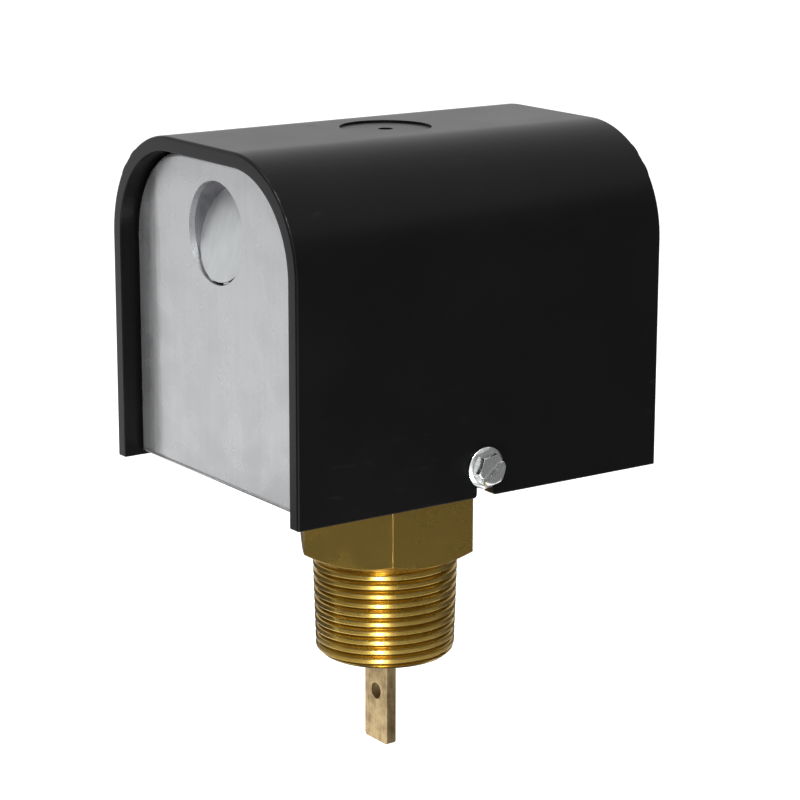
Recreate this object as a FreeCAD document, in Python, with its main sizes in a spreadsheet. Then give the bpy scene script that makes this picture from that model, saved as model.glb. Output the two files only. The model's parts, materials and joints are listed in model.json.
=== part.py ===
"""Paddle flow switch: a pipe-mounted flow switch with a snap switch under a lift-off cover.

Frame: the origin is on the pipe thread's axis at the underside of the brass hexagon.
+Z runs up into the housing, +Y is the way the liquid flows, X runs along the pivot pin.
Sizes are in millimetres, and each is written once, in the sheet below.
"""
import FreeCAD, Part
import math
import os
import re

import Sketcher
from FreeCAD import Rotation, Vector

SIZES = {
    # moulded cover: an arch open at both ends and at the bottom
    "cover_width": 76.1,
    "cover_height": 76.25,
    "cover_wall": 3.3,
    "cover_shoulder": 24.5,
    "cover_drop": 1.0,
    "cover_edge_round": 1.0,
    "cover_mouth_round": 0.5,
    "cover_gap": 0.35,
    "recess_radius": 10.25,
    "recess_depth": 0.5,
    "gate_radius": 1.65,
    "gate_depth": 0.5,
    "slot_corner_round": 1.0,
    # screws that hold the cover, one in each long side
    "cover_screw_radius": 2.08,
    "cover_screw_rise": 6.6,
    "cover_screw_reach": 8.0,
    "cover_screw_play": 0.07,
    "cover_screw_standoff": 0.1,
    "washer_radius": 4.65,
    "washer_depth": 0.9,
    "hex_head_flats": 6.35,
    "hex_head_depth": 2.1,
    # pressed steel chassis: base, two end plates and two side lugs
    "sheet_steel": 1.5,
    "end_recess": 4.1,
    "wiring_room": 4.925,
    "end_rim_depth": 5.0,
    "end_edge_round": 1.2,
    "lug_length": 18.0,
    "lug_height": 12.0,
    "lug_round": 3.0,
    "knockout_radius": 11.3,
    "knockout_height": 55.7,
    "knockout_slit": 0.7,
    "knockout_push": 0.55,
    "knockout_tie": 4.4,
    "knockout_lean": 16.0,
    # brass body
    "hex_flats": 38.1,
    "hex_height": 22.55,
    "hex_crown": 3.06,
    "hex_face_inset": 1.35,
    "pipe_thread_radius": 16.7,
    "pipe_thread_length": 23.6,
    "pipe_thread_fall": 0.03125,
    "pipe_thread_chamfer": 1.2,
    "pipe_thread_pitch": 2.209,
    "pipe_thread_depth": 1.35,
    "pipe_thread_crest": 0.25,
    "body_bore_radius": 11.0,
    "seal_thickness": 1.5,
    "seal_play": 0.05,
    # bellows that seals the rod
    "bellows_flange_radius": 12.6,
    "bellows_flange_bore": 4.9,
    "bellows_bore_radius": 4.9,
    "bellows_valley_radius": 5.5,
    "bellows_crest_radius": 7.2,
    "bellows_folds": 6,
    "bellows_foot": 5.05,
    "cap_thickness": 2.0,
    # fulcrum bracket and its screws
    "bracket_sheet": 2.0,
    "fulcrum_plate": 29.0,
    "fulcrum_opening": 8.0,
    "fulcrum_ear_width": 11.0,
    "ear_crown": 5.5,
    "body_screw_circle": 31.0,
    "body_screw_depth": 9.0,
    # pivot
    "pivot_rise": 5.6,
    "pivot_pin_radius": 1.6,
    "pin_overhang": 1.3,
    "clip_radius": 3.4,
    "clip_thickness": 0.6,
    "hub_length": 17.4,
    "hub_radius": 4.5,
    "side_play": 0.3,
    "running_play": 0.04,
    "light_play": 0.02,
    # rod and flat bar
    "rod_radius": 3.0,
    "rod_crown": 6.0,
    "rod_foot": -15.35,
    "rod_half_step": -2.85,
    "bar_width": 9.1,
    "bar_thickness": 2.5,
    "bar_bottom": -45.85,
    "bar_end_round": 0.8,
    "bar_hole_radius": 1.85,
    "bar_hole_rise": 12.1,
    "rivet_radius": 1.4,
    "rivet_head_radius": 2.4,
    "rivet_head_depth": 0.7,
    "rivet_spacing": 6.5,
    # lever head: spring spigot on one side, push tip on the other
    "spring_rise": 23.0,
    "head_width": 11.0,
    "head_depth": 10.0,
    "head_height": 9.0,
    "head_round": 1.0,
    "spigot_radius": 2.8,
    "spigot_length": 3.0,
    "tip_radius": 2.4,
    "tip_length": 2.0,
    "tip_stem_radius": 1.2,
    "tip_stem_length": 1.8,
    # snap switch
    "switch_width": 17.5,
    "switch_length": 49.2,
    "switch_depth": 24.2,
    "switch_lift": 8.6,
    "switch_round": 0.8,
    "contact_gap": 0.15,
    "leaf_thickness": 0.6,
    "leaf_width": 5.0,
    "leaf_pin_radius": 0.8,
    "leaf_pivot_rise": 4.5,
    "leaf_length": 22.0,
    "plunger_radius": 1.5,
    "plunger_offset": 8.0,
    "plunger_standing": 2.5,
    "plunger_sunk": 4.0,
    "lug_thickness": 1.5,
    "mounting_pitch": 25.4,
    "mounting_rise": 12.0,
    "mounting_set": 14.0,
    "terminal_pitch": 16.0,
    "terminal_thickness": 1.0,
    "terminal_side": 8.0,
    "barrier_thickness": 1.4,
    "barrier_depth": 4.0,
    "terminal_screw_radius": 1.7,
    "terminal_head_radius": 3.1,
    "terminal_head_depth": 2.0,
    "terminal_screw_length": 6.0,
    # switch bracket
    "switch_bracket_start": 16.5,
    "switch_bracket_length": 16.0,
    "switch_bracket_height": 52.0,
    "switch_foot_length": 15.0,
    "foot_screw_inset": 8.0,
    "foot_screw_pitch": 9.0,
    "bend_radius": 2.6,
    "nut_flats": 7.0,
    "nut_depth": 2.8,
    # spring bracket, range screw, seat nut and range spring
    "driver_room": 5.825,
    "spring_bracket_width": 18.0,
    "spring_bracket_crown": 7.4,
    "spring_foot_length": 14.0,
    "guide_length": 12.0,
    "guide_width": 10.0,
    "guide_play": 0.2,
    "range_screw_radius": 2.5,
    "screw_tip_room": 6.0,
    "range_head_radius": 4.6,
    "range_head_depth": 3.4,
    "retainer_radius": 4.0,
    "retainer_thickness": 0.6,
    "seat_set": 9.0,
    "seat_flats": 12.0,
    "seat_thickness": 4.0,
    "seat_collar_radius": 2.95,
    "seat_collar_length": 2.2,
    "seat_thread_play": 0.06,
    "spring_mean_radius": 3.75,
    "spring_wire_radius": 0.5,
    "spring_turns": 5,
    "spring_end_play": 0.1,
    # M4 fasteners and the earth screw
    "small_screw_radius": 2.0,
    "pan_head_radius": 3.5,
    "pan_head_depth": 2.5,
    "driver_slot_width": 0.9,
    "driver_slot_depth": 1.1,
    "earth_side_inset": 11.4,
    "earth_end_inset": 17.0,
    "earth_washer_radius": 4.5,
    "earth_washer_depth": 0.8,
    "earth_head_flats": 7.0,
    "earth_head_depth": 2.8,
}

document = FreeCAD.newDocument("PaddleFlowSwitch")
sheet = document.addObject("Spreadsheet::Sheet", "Sizes")
for row, (alias, number) in enumerate(SIZES.items(), start=1):
    sheet.set(f"A{row}", alias)
    sheet.set(f"B{row}", str(number))
    sheet.setAlias(f"B{row}", alias)
document.recompute()

WORD = re.compile(r"[a-z][a-z0-9_]*")

# Places that several pieces share, as expressions over the sheet's names.
COVER_HALF = "(cover_width / 2)"
INNER_HALF = "(cover_width / 2 - cover_wall)"
COVER_BOTTOM = "(hex_height - cover_drop)"
COVER_TOP = "(hex_height - cover_drop + cover_height)"
INNER_TOP = f"({COVER_TOP} - cover_wall)"
INNER_SHOULDER = "(cover_shoulder - cover_wall)"
SCREW_HEIGHT = f"({COVER_BOTTOM} + cover_screw_rise)"
CHASSIS_HALF = f"({INNER_HALF} - cover_gap)"
CHASSIS_TOP = f"({INNER_TOP} - cover_gap)"
CHASSIS_SHOULDER = f"({INNER_SHOULDER} - cover_gap)"
FLOOR = "(hex_height + sheet_steel)"
FULCRUM_TOP = f"({FLOOR} + bracket_sheet)"
PIVOT = f"({FULCRUM_TOP} + pivot_rise)"
SPRING_LINE = f"({PIVOT} + spring_rise)"
ROD_TOP = f"({SPRING_LINE} + rod_crown)"
KNOCKOUT_CENTRE = "(hex_height + knockout_height)"
EAR_INNER = "(hub_length / 2 + side_play)"
EAR_OUTER = f"({EAR_INNER} + bracket_sheet)"
TIP_END = "(head_depth / 2 + tip_length)"
LEAF_FRONT = f"({TIP_END} + contact_gap)"
LEAF_EYE = "(leaf_pin_radius + running_play + leaf_thickness)"
LEAF_AXIS = f"({LEAF_FRONT} + {LEAF_EYE})"
PLUNGER_TIP = f"({LEAF_FRONT} + leaf_thickness + contact_gap)"
SWITCH_FRONT = f"({PLUNGER_TIP} + plunger_standing)"
SWITCH_BACK = f"({SWITCH_FRONT} + switch_depth)"
CHASSIS_END = (f"({SWITCH_BACK} + terminal_thickness + terminal_head_depth"
               " + wiring_room + sheet_steel)")
COVER_END = f"({CHASSIS_END} + end_recess)"
SWITCH_BOTTOM = f"({FLOOR} + switch_lift)"
SWITCH_TOP = f"({SWITCH_BOTTOM} + switch_length)"
LEAF_HEIGHT = f"({SWITCH_BOTTOM} + leaf_pivot_rise)"
PLUNGER_HEIGHT = f"({LEAF_HEIGHT} + plunger_offset)"
MOUNTING_LINE = f"({SWITCH_FRONT} + mounting_set)"
MOUNTING_LOW = f"({SWITCH_BOTTOM} + mounting_rise)"
MOUNTING_HIGH = f"({MOUNTING_LOW} + mounting_pitch)"
SPRING_PLATE_BACK = (f"(sheet_steel + driver_room + range_head_depth + side_play"
                     f" - {CHASSIS_END})")
SPRING_PLATE = f"({SPRING_PLATE_BACK} + bracket_sheet)"
SEAT_FACE = f"({SPRING_PLATE} + seat_set)"
HEAD_BACK = "(-head_depth / 2)"
SEAL_SEAT = "(hex_height - seal_thickness)"
EARTH_SPOT = (f"(earth_side_inset - {CHASSIS_HALF})", f"(earth_end_inset - {CHASSIS_END})")
ROOT_THREE = "sqrt(3)"


def bound(expression):
    """Give an expression over the sheet's names the form that other objects read."""
    return WORD.sub(lambda word: f"{sheet.Name}.{word[0]}" if word[0] in SIZES else word[0],
                    expression)


def value(expression):
    """Return the number that an expression over the sheet's names has now."""
    return float(sheet.evalExpression(expression))


# ---------------------------------------------------------------- sketches

def to(x, y):
    """Return the end of a straight run of an outline."""
    return (x, y, None, None, 0)


def around(x, y, centre_x, centre_y, turn):
    """Return the end of an arc of an outline; turn is 1 anticlockwise and -1 clockwise."""
    return (x, y, centre_x, centre_y, turn)


def hold(sketch, kind, places, expression):
    """Add one dimension to a sketch and bind it to the sheet."""
    index = sketch.addConstraint(Sketcher.Constraint(kind, *places, value(expression)))
    sketch.setExpression(f"Constraints[{index}]", bound(expression))


def hold_point(sketch, geometry, vertex, x, y):
    """Dimension one point of a sketch from its origin."""
    hold(sketch, "DistanceX", (-1, 1, geometry, vertex), x)
    hold(sketch, "DistanceY", (-1, 1, geometry, vertex), y)


def circle(x, y, radius):
    """Return a drawing step for one circle."""
    def draw(sketch):
        centre = Vector(value(x), value(y), 0)
        ring = Part.Circle(centre, Vector(0, 0, 1), value(radius))
        index = sketch.addGeometry(ring, False)
        hold_point(sketch, index, 3, x, y)
        hold(sketch, "Radius", (index,), radius)
    return draw


def outline(*ends):
    """Return a drawing step for one closed outline of straight runs and arcs."""
    def draw(sketch):
        points = [Vector(value(end[0]), value(end[1]), 0) for end in ends]
        runs = []
        for number, end in enumerate(ends):
            start_point = points[number - 1]
            end_point = points[number]
            if end[4] == 0:
                run = Part.LineSegment(start_point, end_point)
                index = sketch.addGeometry(run, False)
                runs.append((index, 1, 2))
                continue
            centre = Vector(value(end[2]), value(end[3]), 0)
            first, last = start_point - centre, end_point - centre
            if end[4] < 0:
                first, last = last, first
            ring = Part.Circle(centre, Vector(0, 0, 1), first.Length)
            angles = [math.atan2(ray.y, ray.x) for ray in (first, last)]
            index = sketch.addGeometry(Part.ArcOfCircle(ring, angles[0], angles[1]), False)
            runs.append((index, 1, 2) if end[4] > 0 else (index, 2, 1))
        for number, end in enumerate(ends):
            index, start_vertex, end_vertex = runs[number]
            before, _, before_end = runs[number - 1]
            joint = Sketcher.Constraint("Coincident", before, before_end, index, start_vertex)
            sketch.addConstraint(joint)
            hold_point(sketch, index, end_vertex, end[0], end[1])
            if end[4] != 0:
                chord = points[number] - points[number - 1]
                if abs(chord.x) > abs(chord.y):
                    hold(sketch, "DistanceY", (-1, 1, index, 3), end[3])
                else:
                    hold(sketch, "DistanceX", (-1, 1, index, 3), end[2])
    return draw


def rectangle(left, low, right, high):
    """Return a drawing step for one rectangle."""
    return outline(to(left, low), to(right, low), to(right, high), to(left, high))


def centred(width, low, high):
    """Return a drawing step for a rectangle centred across the sketch's first axis."""
    return rectangle(f"-({width}) / 2", low, f"({width}) / 2", high)


def hexagon(flats, x="0", y="0"):
    """Return a drawing step for a hexagon with two flats square to the first axis."""
    half, low, high = f"{flats} / 2", f"{flats} / (2 * {ROOT_THREE})", f"{flats} / {ROOT_THREE}"
    corners = ((half, low), ("0", high), (f"-{half}", low),
               (f"-{half}", f"-{low}"), ("0", f"-{high}"), (half, f"-{low}"))
    return outline(*(to(f"{x} + ({across})", f"{y} + ({along})") for across, along in corners))


def arch(half, bottom, top, shoulder):
    """Return the outline of an arch: straight sides, a flat crown and round shoulders."""
    crown = f"({half} - {shoulder})"
    spring_line = f"({top} - {shoulder})"
    return outline(to(f"-{half}", bottom),
                   to(half, bottom),
                   to(half, spring_line),
                   around(crown, top, crown, spring_line, 1),
                   to(f"-{crown}", top),
                   around(f"-{half}", spring_line, f"-{crown}", spring_line, 1))


def upright_slot(centre, half, bottom, middle):
    """Return the outline of a slot that is open below and round above."""
    left, right = f"{centre} - {half}", f"{centre} + {half}"
    return outline(to(left, bottom), to(right, bottom), to(right, middle),
                   around(left, middle, centre, middle, 1))


# ---------------------------------------------------------------- features

PLANES = {"X": "YZ_Plane", "Y": "XZ_Plane", "Z": "XY_Plane"}


def new_body(label):
    """Start one sub-part."""
    body = document.addObject("PartDesign::Body", label)
    body.Label = label
    return body


def new_sketch(body, axis, level, *drawings):
    """Draw a sketch square to an axis at a level along it."""
    sketch = body.newObject("Sketcher::SketchObject", f"{body.Label}_sketch")
    role = PLANES[axis]
    plane = next(item for item in body.Origin.OriginFeatures if item.Role == role)
    sketch.AttachmentSupport = [(plane, "")]
    sketch.MapMode = "FlatFace"
    offset = f"-({level})" if axis == "Y" else level
    sketch.setExpression("AttachmentOffset.Base.z", bound(offset))
    for drawing in drawings:
        drawing(sketch)
    sketch.Visibility = False
    return sketch


def add(body, axis, low, high, *drawings):
    """Pad an outline from one level to a higher one along an axis."""
    sketch = new_sketch(body, axis, high if axis == "Y" else low, *drawings)
    pad = body.newObject("PartDesign::Pad", f"{body.Label}_pad")
    pad.Profile = sketch
    pad.setExpression("Length", bound(f"({high}) - ({low})"))
    return pad


def cut(body, axis, low, high, *drawings):
    """Pocket an outline from one level to a higher one along an axis."""
    sketch = new_sketch(body, axis, low if axis == "Y" else high, *drawings)
    pocket = body.newObject("PartDesign::Pocket", f"{body.Label}_pocket")
    pocket.Profile = sketch
    pocket.setExpression("Length", bound(f"({high}) - ({low})"))
    return pocket


def turn(body, *drawings, remove=False):
    """Revolve outlines of radius and height about the body's own Z axis."""
    sketch = new_sketch(body, "Y", "0", *drawings)
    kind = "PartDesign::Groove" if remove else "PartDesign::Revolution"
    feature = body.newObject(kind, f"{body.Label}_turned")
    feature.Profile = sketch
    feature.ReferenceAxis = (sketch, ["V_Axis"])
    feature.Angle = 360
    return feature


def around_axis(body, features, count):
    """Repeat features evenly about the body's Z axis."""
    pattern = body.newObject("PartDesign::PolarPattern", f"{body.Label}_pattern")
    pattern.Originals = features
    axis = next(item for item in body.Origin.OriginFeatures if item.Role == "Z_Axis")
    pattern.Axis = (axis, [""])
    pattern.Angle = 360
    pattern.Occurrences = count
    body.Tip = pattern
    return pattern


def mirrored(body, features, role):
    """Repeat features on the other side of one of the body's origin planes."""
    mirror = body.newObject("PartDesign::Mirrored", f"{body.Label}_mirror")
    mirror.Originals = features
    plane = next(item for item in body.Origin.OriginFeatures if item.Role == role)
    mirror.MirrorPlane = (plane, [""])
    body.Tip = mirror
    return mirror


def soften(body, radius, wanted, kind="Fillet"):
    """Round or bevel the edges of a body's tip that a test picks out."""
    document.recompute()
    base = body.Tip
    names = [f"Edge{number}" for number, edge in enumerate(base.Shape.Edges, start=1)
             if wanted(edge)]
    if not names:
        raise RuntimeError(f"{body.Label}: no edge to soften")
    feature = body.newObject(f"PartDesign::{kind}", f"{body.Label}_{kind.lower()}")
    feature.Base = (base, names)
    feature.setExpression("Radius" if kind == "Fillet" else "Size", bound(radius))
    return feature


def place(body, x, y, z, axis=(0, 0, 1), angle=0):
    """Turn a finished piece and put its own origin where the expressions say."""
    body.Placement = FreeCAD.Placement(Vector(0, 0, 0), Rotation(Vector(*axis), angle))
    for letter, expression in zip("xyz", (x, y, z)):
        body.setExpression(f"Placement.Base.{letter}", bound(expression))


def near(first, second):
    """Say whether two lengths are the same to a hundredth of a millimetre."""
    return abs(first - second) < 0.01


def lies_at(edge, axis, *levels):
    """Say whether a whole edge lies at one of the levels along an axis."""
    box = edge.BoundBox
    low = getattr(box, f"{axis}Min")
    high = getattr(box, f"{axis}Max")
    return near(low, high) and any(near(low, level) for level in levels)


def runs_along(edge, axis):
    """Say whether an edge is a straight run along one axis."""
    box = edge.BoundBox
    spans = {"X": box.XLength, "Y": box.YLength, "Z": box.ZLength}
    return spans.pop(axis) > 0.01 and max(spans.values()) < 0.01


# Directions for a screw whose head points along an axis of the model.
HEAD_UP = ((0, 0, 1), 0)
HEAD_RIGHT = ((0, 1, 0), 90)
HEAD_LEFT = ((0, 1, 0), -90)
HEAD_BACK_WALL = ((1, 0, 0), -90)
HEAD_FRONT_WALL = ((1, 0, 0), 90)


def pan_screw(label, spot, facing, shank, length, head="pan_head_radius",
              depth="pan_head_depth"):
    """Model a slotted pan-head screw whose head seats at a spot."""
    body = new_body(label)
    shallow = f"({depth} * 0.55)"
    turn(body, outline(to("0", f"-({length})"),
                       to(shank, f"-({length})"),
                       to(shank, "0"),
                       to(head, "0"),
                       to(head, shallow),
                       to(f"{head} * 0.62", depth),
                       to("0", depth)))
    cut(body, "Z", f"{depth} - driver_slot_depth", f"{depth} + 0.5",
        rectangle(f"-{head} - 0.5", "-driver_slot_width / 2",
                  f"{head} + 0.5", "driver_slot_width / 2"))
    place(body, *spot, *facing)
    return body


def flanged_screw(label, spot, facing, shank, length, washer, washer_depth, flats, depth):
    """Model a hexagon-head screw with a washer face and a driver slot."""
    body = new_body(label)
    add(body, "Z", f"-({length})", "0", circle("0", "0", shank))
    add(body, "Z", "0", washer_depth, circle("0", "0", washer))
    add(body, "Z", washer_depth, f"{washer_depth} + {depth}", hexagon(flats))
    rim = f"({flats} / {ROOT_THREE})"
    top = f"({washer_depth} + {depth})"
    turn(body, outline(to(f"{rim} - 0.45", f"{top} + 0.2"),
                       to(f"{rim} + 0.4", f"{top} - 0.45"),
                       to(f"{rim} + 0.4", f"{top} + 0.2")), remove=True)
    cut(body, "Z", f"{top} - driver_slot_depth", f"{top} + 0.5",
        rectangle(f"-{flats}", "-driver_slot_width / 2", flats, "driver_slot_width / 2"))
    place(body, *spot, *facing)
    return body


# ---------------------------------------------------------------- cover

def make_cover():
    """Model the moulded arch cover with its screw slots and roof recess."""
    cover = new_body("cover")
    crown, inner_crown = f"({COVER_HALF} - cover_shoulder)", f"({INNER_HALF} - {INNER_SHOULDER})"
    line, inner_line = f"({COVER_TOP} - cover_shoulder)", f"({INNER_TOP} - {INNER_SHOULDER})"
    wall = outline(to(COVER_HALF, COVER_BOTTOM),
                   to(COVER_HALF, line),
                   around(crown, COVER_TOP, crown, line, 1),
                   to(f"-{crown}", COVER_TOP),
                   around(f"-{COVER_HALF}", line, f"-{crown}", line, 1),
                   to(f"-{COVER_HALF}", COVER_BOTTOM),
                   to(f"-{INNER_HALF}", COVER_BOTTOM),
                   to(f"-{INNER_HALF}", inner_line),
                   around(f"-{inner_crown}", INNER_TOP, f"-{inner_crown}", inner_line, -1),
                   to(inner_crown, INNER_TOP),
                   around(INNER_HALF, inner_line, inner_crown, inner_line, -1),
                   to(INNER_HALF, COVER_BOTTOM))
    add(cover, "Y", f"-{COVER_END}", COVER_END, wall)
    end, half, inner = value(COVER_END), value(COVER_HALF), value(INNER_HALF)
    top, shoulder = value(COVER_TOP), value("cover_shoulder")

    def outside(edge):
        """Say whether an end edge belongs to the outer arch and not the inner one."""
        middle = edge.valueAt((edge.FirstParameter + edge.LastParameter) / 2)
        across, above = abs(middle.x), middle.z - (top - shoulder)
        if above <= 0:
            return near(across, half)
        reach = math.hypot(max(across - (half - shoulder), 0), above)
        return near(reach, shoulder) or near(middle.z, top)

    soften(cover, "cover_edge_round", lambda edge: lies_at(edge, "Y", end, -end) and outside(edge))
    soften(cover, "cover_mouth_round",
           lambda edge: lies_at(edge, "Y", end, -end) and not outside(edge)
           and not near(edge.BoundBox.ZMin, edge.BoundBox.ZMax) or
           lies_at(edge, "Y", end, -end) and near(edge.BoundBox.ZMax, value(INNER_TOP)))
    slot = upright_slot("0", "(cover_screw_radius + cover_screw_play)",
                        f"{COVER_BOTTOM} - 1", SCREW_HEIGHT)
    cut(cover, "X", f"-{COVER_HALF} - 1", f"{COVER_HALF} + 1", slot)
    width = value("cover_screw_radius + cover_screw_play")
    bottom = value(COVER_BOTTOM)
    soften(cover, "slot_corner_round",
           lambda edge: runs_along(edge, "X") and near(edge.BoundBox.ZMin, bottom)
           and near(abs(edge.BoundBox.YMin), width))
    cut(cover, "Z", f"{COVER_TOP} - recess_depth", f"{COVER_TOP} + 1",
        circle("0", "0", "recess_radius"))
    cut(cover, "Z", f"{COVER_TOP} - recess_depth - gate_depth", f"{COVER_TOP} + 1",
        circle("0", "0", "gate_radius"))
    return cover


def make_cover_screws():
    """Model the two screws that hold the cover's sides to the chassis lugs."""
    reach = "cover_screw_reach"
    for label, sign, facing in (("cover_screw_right", "", HEAD_RIGHT),
                                ("cover_screw_left", "-", HEAD_LEFT)):
        spot = (f"{sign}({COVER_HALF} + cover_screw_standoff)", "0", SCREW_HEIGHT)
        flanged_screw(label, spot, facing, "cover_screw_radius", reach, "washer_radius",
                      "washer_depth", "hex_head_flats", "hex_head_depth")


# ---------------------------------------------------------------- chassis

def foot_screw_spots():
    """Return where each bracket's foot screws go, by label."""
    middle = "(switch_bracket_start + switch_bracket_length / 2)"
    across = f"(switch_width / 2 + sheet_steel + foot_screw_inset)"
    spring_line = f"({SPRING_PLATE} + spring_foot_length - 5)"
    return {"switch_foot_screw_near": (across, f"{middle} - foot_screw_pitch / 2"),
            "switch_foot_screw_far": (across, f"{middle} + foot_screw_pitch / 2"),
            "spring_foot_screw_left": ("-foot_screw_pitch / 2", spring_line),
            "spring_foot_screw_right": ("foot_screw_pitch / 2", spring_line)}


def make_chassis():
    """Model the pressed chassis: base, rimmed end plates, side lugs and knockouts."""
    chassis = new_body("chassis")
    add(chassis, "Z", "hex_height", FLOOR,
        rectangle(f"-{CHASSIS_HALF}", f"-{CHASSIS_END}", CHASSIS_HALF, CHASSIS_END))
    rim = f"({CHASSIS_END} - end_rim_depth)"
    inner = (f"({CHASSIS_HALF} - sheet_steel)", FLOOR,
             f"({CHASSIS_TOP} - sheet_steel)", f"({CHASSIS_SHOULDER} - sheet_steel)")
    plate = add(chassis, "Y", f"-{CHASSIS_END}", f"-{rim}",
                arch(CHASSIS_HALF, "hex_height", CHASSIS_TOP, CHASSIS_SHOULDER))
    dish = cut(chassis, "Y", f"-{CHASSIS_END} + sheet_steel", f"-{rim} + 0.5", arch(*inner))
    mirrored(chassis, [plate, dish], "XZ_Plane")
    end = value(CHASSIS_END)
    soften(chassis, "end_edge_round", lambda edge: lies_at(edge, "Y", end, -end))
    lug = add(chassis, "X", f"{CHASSIS_HALF} - sheet_steel", CHASSIS_HALF,
              outline(to("-lug_length / 2", FLOOR),
                      to("lug_length / 2", FLOOR),
                      to("lug_length / 2", f"{FLOOR} + lug_height - lug_round"),
                      around("lug_length / 2 - lug_round", f"{FLOOR} + lug_height",
                             "lug_length / 2 - lug_round",
                             f"{FLOOR} + lug_height - lug_round", 1),
                      to("-lug_length / 2 + lug_round", f"{FLOOR} + lug_height"),
                      around("-lug_length / 2", f"{FLOOR} + lug_height - lug_round",
                             "-lug_length / 2 + lug_round",
                             f"{FLOOR} + lug_height - lug_round", 1)))
    mirrored(chassis, [lug], "YZ_Plane")
    cut(chassis, "X", f"-{CHASSIS_HALF} - 1", f"{CHASSIS_HALF} + 1",
        circle("0", SCREW_HEIGHT, "cover_screw_radius + light_play"))
    make_knockouts(chassis)
    cut(chassis, "Z", "hex_height - 1", f"{FLOOR} + 1",
        circle("0", "0", "bellows_flange_radius + light_play"))
    hole = cut(chassis, "Z", "hex_height - 1", f"{FLOOR} + 1",
               circle("body_screw_circle / 2 / sqrt(2)", "body_screw_circle / 2 / sqrt(2)",
                      "small_screw_radius + light_play"))
    around_axis(chassis, [hole], 4)
    spots = list(foot_screw_spots().values()) + [EARTH_SPOT]
    cut(chassis, "Z", "hex_height - 1", f"{FLOOR} + 1",
        *(circle(x, y, "small_screw_radius + light_play") for x, y in spots))
    return chassis


def make_knockouts(chassis):
    """Cut the front knockout's hole and press the rear one, hung on the tie in its slit."""
    outer, inner = "knockout_radius", "(knockout_radius - knockout_slit)"
    cut(chassis, "Y", f"-{CHASSIS_END} - 0.5", f"-{CHASSIS_END} + sheet_steel + 0.5",
        circle("0", KNOCKOUT_CENTRE, outer))
    half = "(knockout_tie / 2)"
    drop = f"sqrt({outer} * {outer} - {half} * {half})"
    inner_drop = f"sqrt({inner} * {inner} - {half} * {half})"
    slit = outline(to(half, f"{KNOCKOUT_CENTRE} - {drop}"),
                   around(f"-{half}", f"{KNOCKOUT_CENTRE} - {drop}", "0", KNOCKOUT_CENTRE, 1),
                   to(f"-{half}", f"{KNOCKOUT_CENTRE} - {inner_drop}"),
                   around(half, f"{KNOCKOUT_CENTRE} - {inner_drop}", "0", KNOCKOUT_CENTRE, -1))
    add(chassis, "Y", f"{CHASSIS_END} - sheet_steel - knockout_push",
        f"{CHASSIS_END} - sheet_steel", circle("0", KNOCKOUT_CENTRE, inner))
    cut(chassis, "Y", f"{CHASSIS_END} - knockout_push", f"{CHASSIS_END} + 0.5",
        circle("0", KNOCKOUT_CENTRE, outer))
    cut(chassis, "Y", f"{CHASSIS_END} - sheet_steel - knockout_push - 0.5",
        f"{CHASSIS_END} + 0.5", slit)


def make_leaning_slug():
    """Model the front knockout's slug, struck inwards so that it leans on its two ties."""
    slug = new_body("knockout_slug")
    rise = "(knockout_radius - knockout_slit)"
    add(slug, "Y", "0", "sheet_steel", circle("0", rise, rise))
    near_side, far_side = "(knockout_tie / 2)", "(knockout_tie / 2 + 2)"
    middle = f"({rise} + sheet_steel * 0.8 * sin(knockout_lean))"
    feet = [f"({middle} - sqrt(knockout_radius * knockout_radius - {side} * {side}))"
            for side in (near_side, far_side)]
    stub = add(slug, "Y", "sheet_steel * 0.2", "sheet_steel * 0.8",
               outline(to(near_side, "knockout_slit + 0.8"), to(near_side, feet[0]),
                       around(far_side, feet[1], "0", middle, 1),
                       to(far_side, "knockout_slit + 0.8")))
    mirrored(slug, [stub], "YZ_Plane")
    place(slug, "0", f"-{CHASSIS_END} + 0.1", f"{KNOCKOUT_CENTRE} - {rise}", (1, 0, 0), 0)
    slug.setExpression("Placement.Rotation.Angle", bound("-knockout_lean"))


# ---------------------------------------------------------------- body and bellows

def thread_grooves():
    """Return the outlines of the thread's grooves, one ring to each pitch down the taper."""
    count = int(value("pipe_thread_length / pipe_thread_pitch"))
    half = "((pipe_thread_pitch - pipe_thread_crest) / 2)"
    grooves = []
    for number in range(count):
        level = f"(-pipe_thread_pitch * {number + 0.5})"
        crest = f"(pipe_thread_radius + {level} * pipe_thread_fall)"
        mouth = f"{half} * (1 + pipe_thread_crest / pipe_thread_depth)"
        grooves.append(outline(to(f"{crest} - pipe_thread_depth", level),
                               to(f"{crest} + pipe_thread_crest", f"{level} + {mouth}"),
                               to(f"{crest} + pipe_thread_crest", f"{level} - {mouth}")))
    return grooves


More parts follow.
